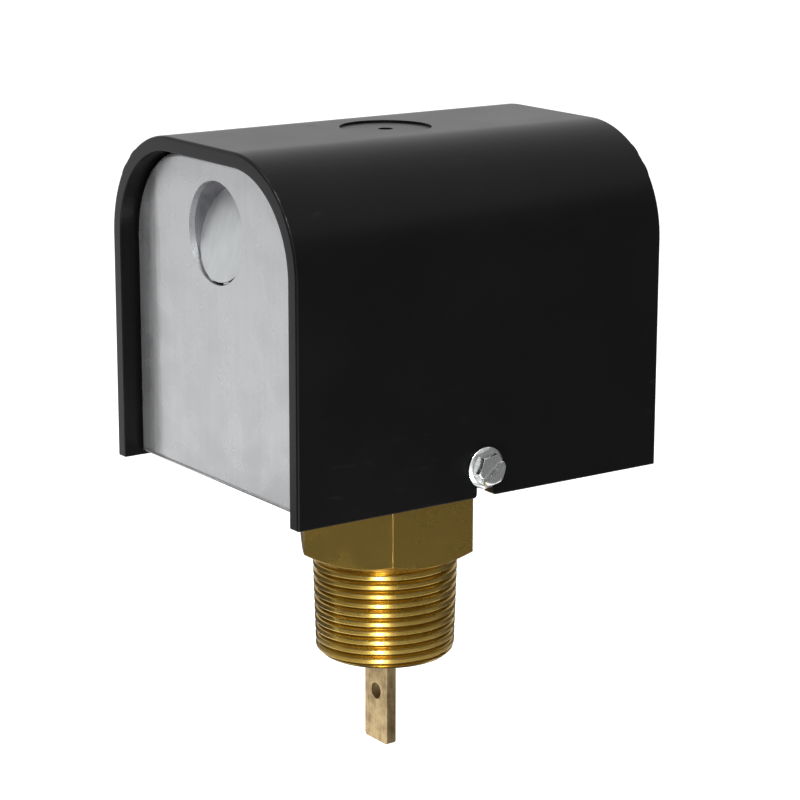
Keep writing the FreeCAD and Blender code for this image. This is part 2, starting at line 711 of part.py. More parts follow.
def make_brass_body():
    """Model the brass body: hexagon, tapered pipe thread, bore and tapped holes."""
    body = new_body("brass_body")
    add(body, "Z", "0", "hex_height", hexagon("hex_flats"))
    corner, flat = f"(hex_flats / {ROOT_THREE})", "(hex_flats / 2)"
    for level, way in (("0", ""), ("hex_height", "-")):
        turn(body, outline(to(f"{flat} - hex_face_inset", level),
                           to(f"{corner} + 1", f"{level} {way or '+'} hex_crown"),
                           to(f"{corner} + 1", level)), remove=True)
    foot = "(-pipe_thread_length)"
    small = "(pipe_thread_radius - pipe_thread_length * pipe_thread_fall)"
    turn(body, outline(to("0", foot),
                       to(f"{small} - pipe_thread_chamfer", foot),
                       to(f"{small} + pipe_thread_chamfer * pipe_thread_fall",
                          f"{foot} + pipe_thread_chamfer"),
                       to("pipe_thread_radius", "0"),
                       to("0", "0")))
    turn(body, *thread_grooves(), remove=True)
    cut(body, "Z", f"{foot} - 1", "hex_height + 1", circle("0", "0", "body_bore_radius"))
    cut(body, "Z", SEAL_SEAT, "hex_height + 1",
        circle("0", "0", "body_bore_radius + seal_thickness"))
    hole = cut(body, "Z", "hex_height - body_screw_depth - 1", "hex_height + 1",
               circle("body_screw_circle / 2 / sqrt(2)", "body_screw_circle / 2 / sqrt(2)",
                      "small_screw_radius + light_play"))
    around_axis(body, [hole], 4)
    return body


def make_bellows():
    """Model the seal ring, the bellows with its flange, and the cap on the rod."""
    ring = new_body("seal_ring")
    add(ring, "Z", SEAL_SEAT, "hex_height - seal_play",
        circle("0", "0", "body_bore_radius + seal_thickness - seal_play"),
        circle("0", "0", "body_bore_radius + seal_play"))

    flange = new_body("bellows_flange")
    add(flange, "Z", "hex_height", FLOOR, circle("0", "0", "bellows_flange_radius"),
        circle("0", "0", "bellows_flange_bore"))

    bellows = new_body("bellows")
    folds = int(value("bellows_folds"))
    step = "((hex_height - bellows_foot) / (2 * bellows_folds))"
    ends = [to("bellows_bore_radius", "bellows_foot")]
    for fold in range(folds):
        ends.append(to("bellows_valley_radius", f"bellows_foot + {step} * {2 * fold}"))
        ends.append(to("bellows_crest_radius", f"bellows_foot + {step} * {2 * fold + 1}"))
    ends.append(to("bellows_valley_radius", "hex_height"))
    ends.append(to("bellows_bore_radius", "hex_height"))
    turn(bellows, outline(*ends))

    cap = new_body("bellows_cap")
    add(cap, "Z", "bellows_foot - cap_thickness", "bellows_foot",
        circle("0", "0", "bellows_crest_radius"),
        circle("0", "0", "rod_radius + light_play"))


# ---------------------------------------------------------------- fulcrum and lever

def make_fulcrum():
    """Model the bracket, pin and clips on which the lever turns."""
    bracket = new_body("fulcrum_bracket")
    half = "fulcrum_plate / 2"
    add(bracket, "Z", FLOOR, FULCRUM_TOP, rectangle(f"-{half}", f"-{half}", half, half))
    crown = f"({PIVOT} + ear_crown - fulcrum_ear_width / 2)"
    ear = add(bracket, "X", EAR_INNER, EAR_OUTER,
              outline(to("-fulcrum_ear_width / 2", FLOOR),
                      to("fulcrum_ear_width / 2", FLOOR),
                      to("fulcrum_ear_width / 2", crown),
                      around("-fulcrum_ear_width / 2", crown, "0", crown, 1)))
    mirrored(bracket, [ear], "YZ_Plane")
    cut(bracket, "X", f"-{EAR_OUTER} - 1", f"{EAR_OUTER} + 1",
        circle("0", PIVOT, "pivot_pin_radius + light_play"))
    cut(bracket, "Z", f"{FLOOR} - 1", f"{FULCRUM_TOP} + 1", circle("0", "0", "fulcrum_opening"))
    hole = cut(bracket, "Z", f"{FLOOR} - 1", f"{FULCRUM_TOP} + 1",
               circle("body_screw_circle / 2 / sqrt(2)", "body_screw_circle / 2 / sqrt(2)",
                      "small_screw_radius + light_play"))
    around_axis(bracket, [hole], 4)
    corner = value(half)
    soften(bracket, "bracket_sheet",
           lambda edge: runs_along(edge, "Z") and near(abs(edge.BoundBox.XMin), corner)
           and near(abs(edge.BoundBox.YMin), corner))

    pin = new_body("pivot_pin")
    tip = f"({EAR_OUTER} + clip_thickness + pin_overhang)"
    add(pin, "X", f"-{tip}", tip, circle("0", PIVOT, "pivot_pin_radius"))
    soften(pin, "0.3", lambda edge: lies_at(edge, "X", value(tip), -value(tip)), "Chamfer")
    for label, low, high in (("pin_clip_right", EAR_OUTER, f"{EAR_OUTER} + clip_thickness"),
                             ("pin_clip_left", f"-{EAR_OUTER} - clip_thickness",
                              f"-{EAR_OUTER}")):
        clip = new_body(label)
        add(clip, "X", low, high, circle("0", PIVOT, "clip_radius"),
            circle("0", PIVOT, "pivot_pin_radius + light_play"))

    radius = "body_screw_circle / 2 / sqrt(2)"
    corners = {"body_screw_right_rear": (radius, radius),
               "body_screw_left_rear": (f"-{radius}", radius),
               "body_screw_left_front": (f"-{radius}", f"-{radius}"),
               "body_screw_right_front": (radius, f"-{radius}")}
    for label, (x, y) in corners.items():
        pan_screw(label, (x, y, FULCRUM_TOP), HEAD_UP, "small_screw_radius",
                  f"({FULCRUM_TOP} - hex_height + body_screw_depth)")


def make_lever():
    """Model the rod, its hub, the flat bar riveted to its milled foot, and its head."""
    rod = new_body("lever_rod")
    add(rod, "Z", "rod_foot", ROD_TOP, circle("0", "0", "rod_radius"))
    cut(rod, "Z", "rod_foot - 1", "rod_half_step",
        rectangle("-rod_radius - 1", "-rod_radius - 1", "rod_radius + 1", "0"))
    cut(rod, "X", "-rod_radius - 1", "rod_radius + 1",
        circle("0", PIVOT, "pivot_pin_radius + running_play"))
    soften(rod, "0.5", lambda edge: lies_at(edge, "Z", value(ROD_TOP)), "Chamfer")

    hub = new_body("lever_hub")
    add(hub, "X", "-hub_length / 2", "hub_length / 2", circle("0", PIVOT, "hub_radius"))
    cut(hub, "X", "-hub_length / 2 - 1", "hub_length / 2 + 1",
        circle("0", PIVOT, "pivot_pin_radius + running_play"))
    cut(hub, "Z", f"{PIVOT} - hub_radius - 1", f"{PIVOT} + hub_radius + 1",
        circle("0", "0", "rod_radius + light_play"))
    reach, wide = value("hub_length / 2"), value("hub_radius")
    soften(hub, "0.6", lambda edge: lies_at(edge, "X", reach, -reach)
           and near(edge.BoundBox.YLength, 2 * wide), "Chamfer")

    bar = new_body("paddle_bar")
    add(bar, "Y", "-bar_thickness", "0", centred("bar_width", "bar_bottom", "rod_half_step"))
    soften(bar, "bar_end_round", lambda edge: runs_along(edge, "Y"))
    cut(bar, "Y", "-bar_thickness - 1", "1",
        circle("0", "bar_bottom + bar_hole_rise", "bar_hole_radius"))
    upper = "(rod_half_step - (rod_half_step - rod_foot - rivet_spacing) / 2)"
    heights = {"bar_rivet_upper": upper, "bar_rivet_lower": f"({upper} - rivet_spacing)"}
    holes = [circle("0", height, "rivet_radius + light_play") for height in heights.values()]
    cut(bar, "Y", "-bar_thickness - 1", "1", *holes)
    cut(rod, "Y", "-1", "rod_radius + 1", *holes)
    for label, height in heights.items():
        rivet = new_body(label)
        head = "(-bar_thickness - rivet_head_depth)"
        turn(rivet, outline(to("0", "-(rod_radius - 0.2)"),
                            to("rivet_radius", "-(rod_radius - 0.2)"),
                            to("rivet_radius", "bar_thickness"),
                            to("rivet_head_radius", "bar_thickness"),
                            around("0", f"-{head}",
                                   "0", dome_centre("rivet_head_radius", "rivet_head_depth",
                                                    "bar_thickness"), 1)))
        place(rivet, "0", "0", height, *HEAD_FRONT_WALL)

    head = new_body("lever_head")
    low, high = f"({SPRING_LINE} - head_height / 2)", f"({SPRING_LINE} + head_height / 2)"
    half, deep = "head_width / 2", "head_depth / 2"
    add(head, "Z", low, high, rectangle(f"-{half}", f"-{deep}", half, deep))
    soften(head, "head_round", lambda edge: runs_along(edge, "Z"))
    add(head, "Y", f"{HEAD_BACK} - spigot_length", HEAD_BACK,
        circle("0", SPRING_LINE, "spigot_radius"))
    cut(head, "Z", f"{low} - 1", f"{high} + 1", circle("0", "0", "rod_radius + light_play"))
    cut(head, "Y", f"{deep} - tip_stem_length", f"{deep} + 1",
        circle("0", SPRING_LINE, "tip_stem_radius + light_play"))
    cut(head, "X", "rod_radius + 0.2", f"{half} + 1",
        circle("0", SPRING_LINE, "terminal_screw_radius + light_play"))

    tip = new_body("push_tip")
    turn(tip, outline(to("0", "-tip_stem_length"),
                      to("tip_stem_radius", "-tip_stem_length"),
                      to("tip_stem_radius", "0"),
                      to("tip_radius", "0"),
                      to("tip_radius", "tip_length - 0.8"),
                      around("0", "tip_length", "0",
                             dome_centre("tip_radius", "0.8", "tip_length - 0.8"), 1)))
    place(tip, "0", deep, SPRING_LINE, *HEAD_BACK_WALL)
    pan_screw("head_clamp_screw", (half, "0", SPRING_LINE), HEAD_RIGHT,
              "terminal_screw_radius", f"({half} - rod_radius - 0.2)", "terminal_head_radius",
              "terminal_head_depth")


def dome_centre(radius, rise, level):
    """Return the height of the centre of a dome that rises from a rim at a level."""
    ball = f"(({radius} * {radius} + {rise} * {rise}) / (2 * {rise}))"
    return f"({level} + {rise} - {ball})"


# ---------------------------------------------------------------- snap switch

def make_switch():
    """Model the snap switch: case, leaf, plunger, terminals and their screws."""
    case = new_body("switch_case")
    half = "(switch_width / 2)"
    add(case, "X", f"-{half}", half, rectangle(SWITCH_FRONT, SWITCH_BOTTOM,
                                               SWITCH_BACK, SWITCH_TOP))
    soften(case, "switch_round", lambda edge: runs_along(edge, "X"))
    inner = "(leaf_width / 2 + side_play)"
    ear = add(case, "X", inner, f"{inner} + lug_thickness",
              rectangle(LEAF_FRONT, f"{LEAF_HEIGHT} - 2.2", f"{SWITCH_FRONT} + 0.5",
                        f"{LEAF_HEIGHT} + 2.2"))
    mirrored(case, [ear], "YZ_Plane")
    cut(case, "X", f"-{inner} - lug_thickness - 1", f"{inner} + lug_thickness + 1",
        circle(LEAF_AXIS, LEAF_HEIGHT, "leaf_pin_radius + light_play"))
    centre = f"(({SWITCH_BOTTOM} + {SWITCH_TOP}) / 2)"
    for side in ("-", "+"):
        place_at = f"({centre} {side} terminal_pitch / 2)"
        add(case, "Z", f"{place_at} - barrier_thickness / 2",
            f"{place_at} + barrier_thickness / 2",
            rectangle(f"-{half}", f"{SWITCH_BACK} - 0.5", half,
                      f"{SWITCH_BACK} + barrier_depth"))
    cut(case, "Y", f"{SWITCH_FRONT} - 1", f"{PLUNGER_TIP} + plunger_standing + plunger_sunk",
        circle("0", PLUNGER_HEIGHT, "plunger_radius + running_play"))
    cut(case, "X", f"-{half} - 1", f"{half} + 1",
        *(circle(MOUNTING_LINE, height, "small_screw_radius + light_play")
          for height in (MOUNTING_LOW, MOUNTING_HIGH)))
    names = {"common": f"({centre} - terminal_pitch)", "normally_closed": centre,
             "normally_open": f"({centre} + terminal_pitch)"}
    depth = "terminal_screw_length"
    cut(case, "Y", f"{SWITCH_BACK} - {depth}", f"{SWITCH_BACK} + 1",
        *(circle("0", height, "terminal_screw_radius + light_play")
          for height in names.values()))
    for name, height in names.items():
        tab = new_body(f"terminal_{name}")
        side = "terminal_side / 2"
        add(tab, "Y", SWITCH_BACK, f"{SWITCH_BACK} + terminal_thickness",
            rectangle(f"-{side} - 2", f"{height} - {side}", f"{side} + 2", f"{height} + {side}"),
            circle("0", height, "terminal_screw_radius + light_play"))
        pan_screw(f"terminal_screw_{name}",
                  ("0", f"{SWITCH_BACK} + terminal_thickness", height), HEAD_BACK_WALL,
                  "terminal_screw_radius", f"({depth} + terminal_thickness)",
                  "terminal_head_radius", "terminal_head_depth")

    pin = new_body("leaf_pin")
    add(pin, "X", f"-{inner} - lug_thickness - 0.4", f"{inner} + lug_thickness + 0.4",
        circle(LEAF_AXIS, LEAF_HEIGHT, "leaf_pin_radius"))

    leaf = new_body("switch_leaf")
    add(leaf, "X", "-leaf_width / 2", "leaf_width / 2",
        circle(LEAF_AXIS, LEAF_HEIGHT, LEAF_EYE))
    add(leaf, "X", "-leaf_width / 2", "leaf_width / 2",
        rectangle(LEAF_FRONT, LEAF_HEIGHT, f"{LEAF_FRONT} + leaf_thickness",
                  f"{LEAF_HEIGHT} + leaf_length"))
    cut(leaf, "X", "-leaf_width / 2 - 1", "leaf_width / 2 + 1",
        circle(LEAF_AXIS, LEAF_HEIGHT, "leaf_pin_radius + running_play"))
    top = value(f"{LEAF_HEIGHT} + leaf_length")
    soften(leaf, "1.5", lambda edge: runs_along(edge, "Y") and near(edge.BoundBox.ZMax, top))

    plunger = new_body("switch_plunger")
    turn(plunger, outline(to("0", "-plunger_sunk"),
                          to("plunger_radius", "-plunger_sunk"),
                          to("plunger_radius", "plunger_standing - 0.6"),
                          around("0", "plunger_standing", "0",
                                 dome_centre("plunger_radius", "0.6",
                                             "plunger_standing - 0.6"), 1)))
    place(plunger, "0", SWITCH_FRONT, PLUNGER_HEIGHT, *HEAD_FRONT_WALL)


def make_switch_bracket():
    """Model the bent bracket beside the switch, with its screws and nuts."""
    bracket = new_body("switch_bracket")
    near_side, far_side = "(switch_width / 2)", "(switch_width / 2 + sheet_steel)"
    toe = f"({far_side} + switch_foot_length)"
    start = "switch_bracket_start"
    bend, inner_bend = "bend_radius", "(bend_radius - sheet_steel)"
    add(bracket, "Y", start, f"{start} + switch_bracket_length",
        outline(to(toe, FLOOR),
                to(toe, f"{FLOOR} + sheet_steel"),
                to(f"{far_side} + {inner_bend}", f"{FLOOR} + sheet_steel"),
                around(far_side, f"{FLOOR} + sheet_steel + {inner_bend}",
                       f"{far_side} + {inner_bend}",
                       f"{FLOOR} + sheet_steel + {inner_bend}", -1),
                to(far_side, f"{FLOOR} + switch_bracket_height"),
                to(near_side, f"{FLOOR} + switch_bracket_height"),
                to(near_side, f"{FLOOR} + {bend}"),
                around(f"{near_side} + {bend}", FLOOR, f"{near_side} + {bend}",
                       f"{FLOOR} + {bend}", 1)))
    top, right = value(f"{FLOOR} + switch_bracket_height"), value(toe)
    soften(bracket, "3",
           lambda edge: runs_along(edge, "X") and near(edge.BoundBox.ZMin, top)
           or runs_along(edge, "Z") and near(edge.BoundBox.XMin, right))
    cut(bracket, "X", f"{near_side} - 1", f"{far_side} + 1",
        *(circle(MOUNTING_LINE, height, "small_screw_radius + light_play")
          for height in (MOUNTING_LOW, MOUNTING_HIGH)))
    spots = foot_screw_spots()
    feet = ("switch_foot_screw_near", "switch_foot_screw_far")
    cut(bracket, "Z", f"{FLOOR} - 1", f"{FLOOR} + sheet_steel + 1",
        *(circle(*spots[label], "small_screw_radius + light_play") for label in feet))
    for label in feet:
        pan_screw(label, (*spots[label], f"{FLOOR} + sheet_steel"), HEAD_UP,
                  "small_screw_radius", "(2 * sheet_steel)")
    for level, height in (("lower", MOUNTING_LOW), ("upper", MOUNTING_HIGH)):
        pan_screw(f"switch_screw_{level}", (f"-{near_side}", MOUNTING_LINE, height), HEAD_LEFT,
                  "small_screw_radius", "(switch_width + sheet_steel + nut_depth + 0.8)")
        nut = new_body(f"switch_nut_{level}")
        add(nut, "X", far_side, f"{far_side} + nut_depth",
            hexagon("nut_flats", MOUNTING_LINE, height),
            circle(MOUNTING_LINE, height, "small_screw_radius + light_play"))


# ---------------------------------------------------------------- range spring

def make_range_spring():
    """Model the spring bracket, range screw, seat nut and the spring itself."""
    bracket = new_body("spring_bracket")
    half = "spring_bracket_width / 2"
    bend, inner_bend = "(bend_radius + 0.4)", "(bend_radius + 0.4 - bracket_sheet)"
    top = f"({SPRING_LINE} + spring_bracket_crown)"
    toe = f"({SPRING_PLATE} + spring_foot_length)"
    add(bracket, "X", f"-{half}", half,
        outline(to(toe, FLOOR),
                to(toe, FULCRUM_TOP),
                to(f"{SPRING_PLATE} + {inner_bend}", FULCRUM_TOP),
                around(SPRING_PLATE, f"{FULCRUM_TOP} + {inner_bend}",
                       f"{SPRING_PLATE} + {inner_bend}",
                       f"{FULCRUM_TOP} + {inner_bend}", -1),
                to(SPRING_PLATE, top),
                to(SPRING_PLATE_BACK, top),
                to(SPRING_PLATE_BACK, f"{FLOOR} + {bend}"),
                around(f"{SPRING_PLATE_BACK} + {bend}", FLOOR,
                       f"{SPRING_PLATE_BACK} + {bend}", f"{FLOOR} + {bend}", 1)))
    crown = value(top)
    soften(bracket, "3", lambda edge: runs_along(edge, "Y") and near(edge.BoundBox.ZMin, crown))
    guide_top = f"({SPRING_LINE} - seat_flats / 2 - guide_play)"
    add(bracket, "Z", f"{guide_top} - bracket_sheet", guide_top,
        rectangle("-guide_width / 2", f"{SPRING_PLATE} - 0.5", "guide_width / 2",
                  f"{SPRING_PLATE} + guide_length"))
    cut(bracket, "Y", f"{SPRING_PLATE_BACK} - 1", f"{SPRING_PLATE} + 1",
        circle("0", SPRING_LINE, "range_screw_radius + running_play"))
    spots = foot_screw_spots()
    feet = ("spring_foot_screw_left", "spring_foot_screw_right")
    cut(bracket, "Z", f"{FLOOR} - 1", f"{FULCRUM_TOP} + 1",
        *(circle(*spots[label], "small_screw_radius + light_play") for label in feet))
    for label in feet:
        pan_screw(label, (*spots[label], FULCRUM_TOP), HEAD_UP, "small_screw_radius",
                  "(bracket_sheet + sheet_steel)")

    screw = new_body("range_screw")
    head_face = f"({SPRING_PLATE_BACK} - side_play)"
    add(screw, "Y", head_face, f"{HEAD_BACK} - spigot_length - screw_tip_room",
        circle("0", SPRING_LINE, "range_screw_radius"))
    add(screw, "Y", f"{head_face} - range_head_depth", head_face,
        circle("0", SPRING_LINE, "range_head_radius"))
    flutes = 10
    flute = "(range_head_radius + 0.35)"
    cut(screw, "Y", f"{head_face} - range_head_depth - 1", head_face,
        *(circle(f"{flute} * {math.cos(2 * math.pi * number / flutes):.6f}",
                 f"{SPRING_LINE} + {flute} * {math.sin(2 * math.pi * number / flutes):.6f}",
                 "0.8") for number in range(flutes)))
    cut(screw, "Y", f"{head_face} - range_head_depth - 1",
        f"{head_face} - range_head_depth + driver_slot_depth",
        rectangle("-range_head_radius - 1", f"{SPRING_LINE} - driver_slot_width / 2",
                  "range_head_radius + 1", f"{SPRING_LINE} + driver_slot_width / 2"))

    retainer = new_body("range_screw_retainer")
    add(retainer, "Y", f"{SPRING_PLATE} + side_play",
        f"{SPRING_PLATE} + side_play + retainer_thickness",
        circle("0", SPRING_LINE, "retainer_radius"),
        circle("0", SPRING_LINE, "range_screw_radius + light_play"))

    seat = new_body("spring_seat")
    add(seat, "Y", f"{SEAT_FACE} - seat_thickness", SEAT_FACE,
        hexagon_flat_down("seat_flats", SPRING_LINE))
    add(seat, "Y", SEAT_FACE, f"{SEAT_FACE} + seat_collar_length",
        circle("0", SPRING_LINE, "seat_collar_radius"))
    cut(seat, "Y", f"{SEAT_FACE} - seat_thickness - 1",
        f"{SEAT_FACE} + seat_collar_length + 1",
        circle("0", SPRING_LINE, "range_screw_radius + seat_thread_play"))

    spring = new_body("range_spring")
    low = f"({SEAT_FACE} + spring_end_play + spring_wire_radius)"
    high = f"({HEAD_BACK} - spring_end_play - spring_wire_radius)"
    sketch = new_sketch(spring, "Y", "0", hexagon("2 * spring_wire_radius",
                                                  "spring_mean_radius"))
    coil = spring.newObject("PartDesign::AdditiveHelix", "range_spring_coil")
    coil.Profile = sketch
    coil.ReferenceAxis = (sketch, ["V_Axis"])
    coil.Mode = "height-turns-growth"
    coil.setExpression("Height", bound(f"{high} - {low}"))
    coil.setExpression("Turns", bound("spring_turns"))
    coil.Growth = 0
    place(spring, "0", low, SPRING_LINE, *HEAD_BACK_WALL)


def hexagon_flat_down(flats, height):
    """Return a drawing step for a hexagon with one flat below and one above."""
    half, low, high = f"{flats} / 2", f"{flats} / (2 * {ROOT_THREE})", f"{flats} / {ROOT_THREE}"
    corners = ((low, half), (f"-{low}", half), (f"-{high}", "0"),
               (f"-{low}", f"-{half}"), (low, f"-{half}"), (high, "0"))
    return outline(*(to(across, f"{height} + ({along})") for across, along in corners))


def make_earth_screw():
    """Model the earth screw in the chassis base."""
    flanged_screw("earth_screw", (*EARTH_SPOT, FLOOR), HEAD_UP,
                  "small_screw_radius", "sheet_steel", "earth_washer_radius",
                  "earth_washer_depth", "earth_head_flats", "earth_head_depth")


# ---------------------------------------------------------------- check and write

def check_model(bodies):
    """Stop if any feature failed, any cut removed nothing or any shape is not sound."""
    for item in document.Objects:
        if {"Invalid", "Error"} & set(item.State):
            raise RuntimeError(f"{item.Name} failed: {item.State}")
        if item.TypeId in ("PartDesign::Pocket", "PartDesign::Groove"):
            if item.Shape.Volume >= item.BaseFeature.Shape.Volume - 1e-6:
                raise RuntimeError(f"{item.Name} cuts nothing")
    for body in bodies:
        shape = body.Shape
        if shape.isNull() or not shape.isValid() or len(shape.Solids) != 1:
            raise RuntimeError(f"{body.Label} is not one valid solid")


def main():
    """Build every sub-part, check it and write it to its own file."""
    make_cover()
    make_cover_screws()
    make_chassis()
    make_leaning_slug()
    make_brass_body()
    make_bellows()
    make_fulcrum()
    make_lever()
    make_switch()
    make_switch_bracket()
    make_range_spring()
    make_earth_screw()
    document.recompute()
    bodies = [item for item in document.Objects if item.TypeId == "PartDesign::Body"]
    check_model(bodies)
    os.makedirs("parts", exist_ok=True)
    for body in bodies:
        body.Shape.exportStep(f"parts/{body.Label}.step")
        box = body.Shape.BoundBox
        print(f"{body.Label:32s} {body.Shape.Volume:10.2f} mm3  "
              f"x {box.XMin:7.2f} {box.XMax:7.2f}  y {box.YMin:7.2f} {box.YMax:7.2f}  "
              f"z {box.ZMin:7.2f} {box.ZMax:7.2f}")
    print(f"{len(bodies)} sub-parts")


main()
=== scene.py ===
import json
import logging
import math
from dataclasses import dataclass, field
from enum import Enum
from typing import Iterable, Protocol, Sequence

import bmesh
import bpy
from mathutils import Matrix, Vector


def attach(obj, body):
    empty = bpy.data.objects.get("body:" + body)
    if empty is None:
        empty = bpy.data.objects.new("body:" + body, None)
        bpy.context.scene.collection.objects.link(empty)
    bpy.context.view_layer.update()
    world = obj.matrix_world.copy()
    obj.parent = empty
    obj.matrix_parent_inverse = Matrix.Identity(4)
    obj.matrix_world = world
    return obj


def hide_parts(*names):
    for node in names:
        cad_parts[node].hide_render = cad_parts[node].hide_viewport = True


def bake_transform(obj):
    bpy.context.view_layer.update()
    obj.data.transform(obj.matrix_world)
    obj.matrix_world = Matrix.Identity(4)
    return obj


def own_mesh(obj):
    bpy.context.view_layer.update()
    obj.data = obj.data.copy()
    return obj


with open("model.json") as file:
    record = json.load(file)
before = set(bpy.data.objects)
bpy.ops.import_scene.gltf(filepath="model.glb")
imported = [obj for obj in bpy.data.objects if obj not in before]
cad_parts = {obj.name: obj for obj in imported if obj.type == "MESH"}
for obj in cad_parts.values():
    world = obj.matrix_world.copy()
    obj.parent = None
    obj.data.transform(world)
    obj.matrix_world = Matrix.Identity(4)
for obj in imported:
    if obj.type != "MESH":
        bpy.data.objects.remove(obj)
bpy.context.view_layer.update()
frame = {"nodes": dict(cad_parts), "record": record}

LOG = logging.getLogger("paddle_flow_switch")
MM = 0.001
NEAR = 1e-3
Point = tuple[float, float, float]
Pair = tuple[float, float]
Socket = bpy.types.NodeSocket


class Slot(Enum):
    """The record's material slots that the pieces take their finish from."""

    COVER = "cover_plastic"
    SHEET = "zinc_sheet"
    BODY = "body_brass"
    BAR = "bar_bronze"
    BELLOWS = "bellows_bronze"
    SEAL = "seal_rubber"
    PIN = "pin_steel"
    SPRING = "spring_steel"
    SCREW = "screw_zinc"
    CONTACT = "contact_brass"
    CASE = "switch_phenolic"
    PLUNGER = "plunger_red"
    EARTH = "earth_green"


class Rides(Enum):
    """The moving groups of the switch."""

    HOUSING = "housing"
    LEVER = "lever"
    COVER = "cover_shell"


class Side(Enum):
    """The two long walls of the cover."""

    RIGHT = 1
    LEFT = -1


class Cut(Enum):
    """What a cutting piece leaves of the piece it cuts."""

    OUTSIDE = "DIFFERENCE"
    INSIDE = "INTERSECT"


# ------------------------------------------------------------------ materials


class Axis(Enum):
    """The directions across and up the switch, as the shader nodes name them."""

    ACROSS = "X"
    UP = "Z"


class Join(Enum):
    """The ways to make one pattern of two."""

    SUM = "ADD"
    PRODUCT = "MULTIPLY"
    LARGER = "MAXIMUM"


class Graph:
    """The node tree of one finish, with the steps that the finishes share."""

    def __init__(self, name: str) -> None:
        """Start a finish with one principled shader.

        Args:
            name: The finish's name.
        """
        self.material = bpy.data.materials.new(name)
        self.material.use_nodes = True
        self.tree = self.material.node_tree
        self.shader = self.tree.nodes["Principled BSDF"]
        self.place = self.tree.nodes.new("ShaderNodeTexCoord").outputs["Object"]

    def fixed(self, **numbers: object) -> "Graph":
        """Set plain numbers or colours on the shader's own sockets.

        Args:
            **numbers: Socket names, with _ for a blank, and their values.

        Returns:
            The graph itself.
        """
        for name, number in numbers.items():
            self.shader.inputs[name.replace("_", " ")].default_value = number
        return self

    def link(self, source: Socket, target: Socket) -> None:
        """Join two sockets."""
        self.tree.links.new(source, target)

    def along(self, axis: Axis) -> Socket:
        """Return the place on the piece along one axis, in metres.

        Args:
            axis: The direction.

        Returns:
            A value socket.
        """
        split = self.tree.nodes.new("ShaderNodeSeparateXYZ")
        self.link(self.place, split.inputs[0])
        return split.outputs[axis.value]

    def stretched(self, stretch: Point) -> Socket:
        """Return the place on the piece, scaled along each axis.

        Args:
            stretch: Scale along X, Y and Z.

        Returns:
            The scaled vector socket.
        """
        mapping = self.tree.nodes.new("ShaderNodeMapping")
        mapping.inputs["Scale"].default_value = stretch
        self.link(self.place, mapping.inputs["Vector"])
        return mapping.outputs["Vector"]

    def noise(self, scale: float, detail: float = 4.0, rough: float = 0.55,
              stretch: Point = (1, 1, 1)) -> Socket:
        """Return a cloudy pattern.

        Args:
            scale: Cells to the metre.
            detail: Octaves.
            rough: Share that each finer octave keeps.
            stretch: Scale along each axis, so that the pattern can run in streaks.

        Returns:
            A value socket from 0 to 1.
        """
        noise = self.tree.nodes.new("ShaderNodeTexNoise")
        noise.inputs["Scale"].default_value = scale
        noise.inputs["Detail"].default_value = detail
        noise.inputs["Roughness"].default_value = rough
        self.link(self.stretched(stretch), noise.inputs["Vector"])
        return noise.outputs["Fac"]

    def cells(self, scale: float) -> Socket:
        """Return the distance to the nearest of many scattered points.

        Args:
            scale: Points to the metre.

        Returns:
            A value socket.
        """
        cells = self.tree.nodes.new("ShaderNodeTexVoronoi")
        cells.inputs["Scale"].default_value = scale
        self.link(self.stretched((1, 1, 1)), cells.inputs["Vector"])
        return cells.outputs["Distance"]

    def ranged(self, source: Socket, start: float, end: float,
               low: float = 0.0, high: float = 1.0) -> Socket:
        """Spread one range of values over another.

        Args:
            source: The value.
            start: Value that becomes low.
            end: Value that becomes high.
            low: First result.
            high: Last result.

        Returns:
            The clamped result.
        """
        spread = self.tree.nodes.new("ShaderNodeMapRange")
        for name, number in (("From Min", start), ("From Max", end),
                             ("To Min", low), ("To Max", high)):
            spread.inputs[name].default_value = number
        self.link(source, spread.inputs["Value"])
        return spread.outputs["Result"]

    def joined(self, way: Join, first: Socket, second: Socket | float) -> Socket:
        """Make one pattern of two.

        Args:
            way: How they are joined.
            first: The first value.
            second: The second value, a socket or a number.

        Returns:
            The joined value.
        """
        node = self.tree.nodes.new("ShaderNodeMath")
        node.operation = way.value
        self.link(first, node.inputs[0])
        if isinstance(second, (int, float)):
            node.inputs[1].default_value = second
        else:
            self.link(second, node.inputs[1])
        return node.outputs[0]

    def weighed(self, first: Socket, first_share: float,
                second: Socket, second_share: float) -> Socket:
        """Return the sum of two patterns by their shares.

        Args:
            first: The first value.
            first_share: How much of it counts.
            second: The second value.
            second_share: How much of it counts.

        Returns:
            The weighed sum.
        """
        return self.joined(Join.SUM, self.joined(Join.PRODUCT, first, first_share),
                           self.joined(Join.PRODUCT, second, second_share))

    def ramp(self, source: Socket, *stops: tuple[float, Point]) -> Socket:
        """Turn a value into a colour.

        Args:
            source: The value.
            *stops: Places from 0 to 1 with their linear colours.

        Returns:
            The colour socket.
        """
        node = self.tree.nodes.new("ShaderNodeValToRGB")
        keys = node.color_ramp.elements
        for number, (place, colour) in enumerate(stops):
            key = keys[number] if number < 2 else keys.new(place)
            key.position = place
            key.color = (*colour, 1)
        self.link(source, node.inputs["Fac"])
        return node.outputs["Color"]

    def mixed(self, share: Socket, below: Socket, above: Point) -> Socket:
        """Lay a plain colour over a pattern.

        Args:
            share: How much of the plain colour shows.
            below: The colour pattern.
            above: The plain colour.

        Returns:
            The colour socket.
        """
        node = self.tree.nodes.new("ShaderNodeMix")
        node.data_type = "RGBA"
        self.link(share, node.inputs["Factor"])
        self.link(below, node.inputs["A"])
        node.inputs["B"].default_value = (*above, 1)
        return node.outputs["Result"]

    def colour(self, source: Socket) -> "Graph":
        """Give the shader its colour pattern."""
        self.link(source, self.shader.inputs["Base Color"])
        return self

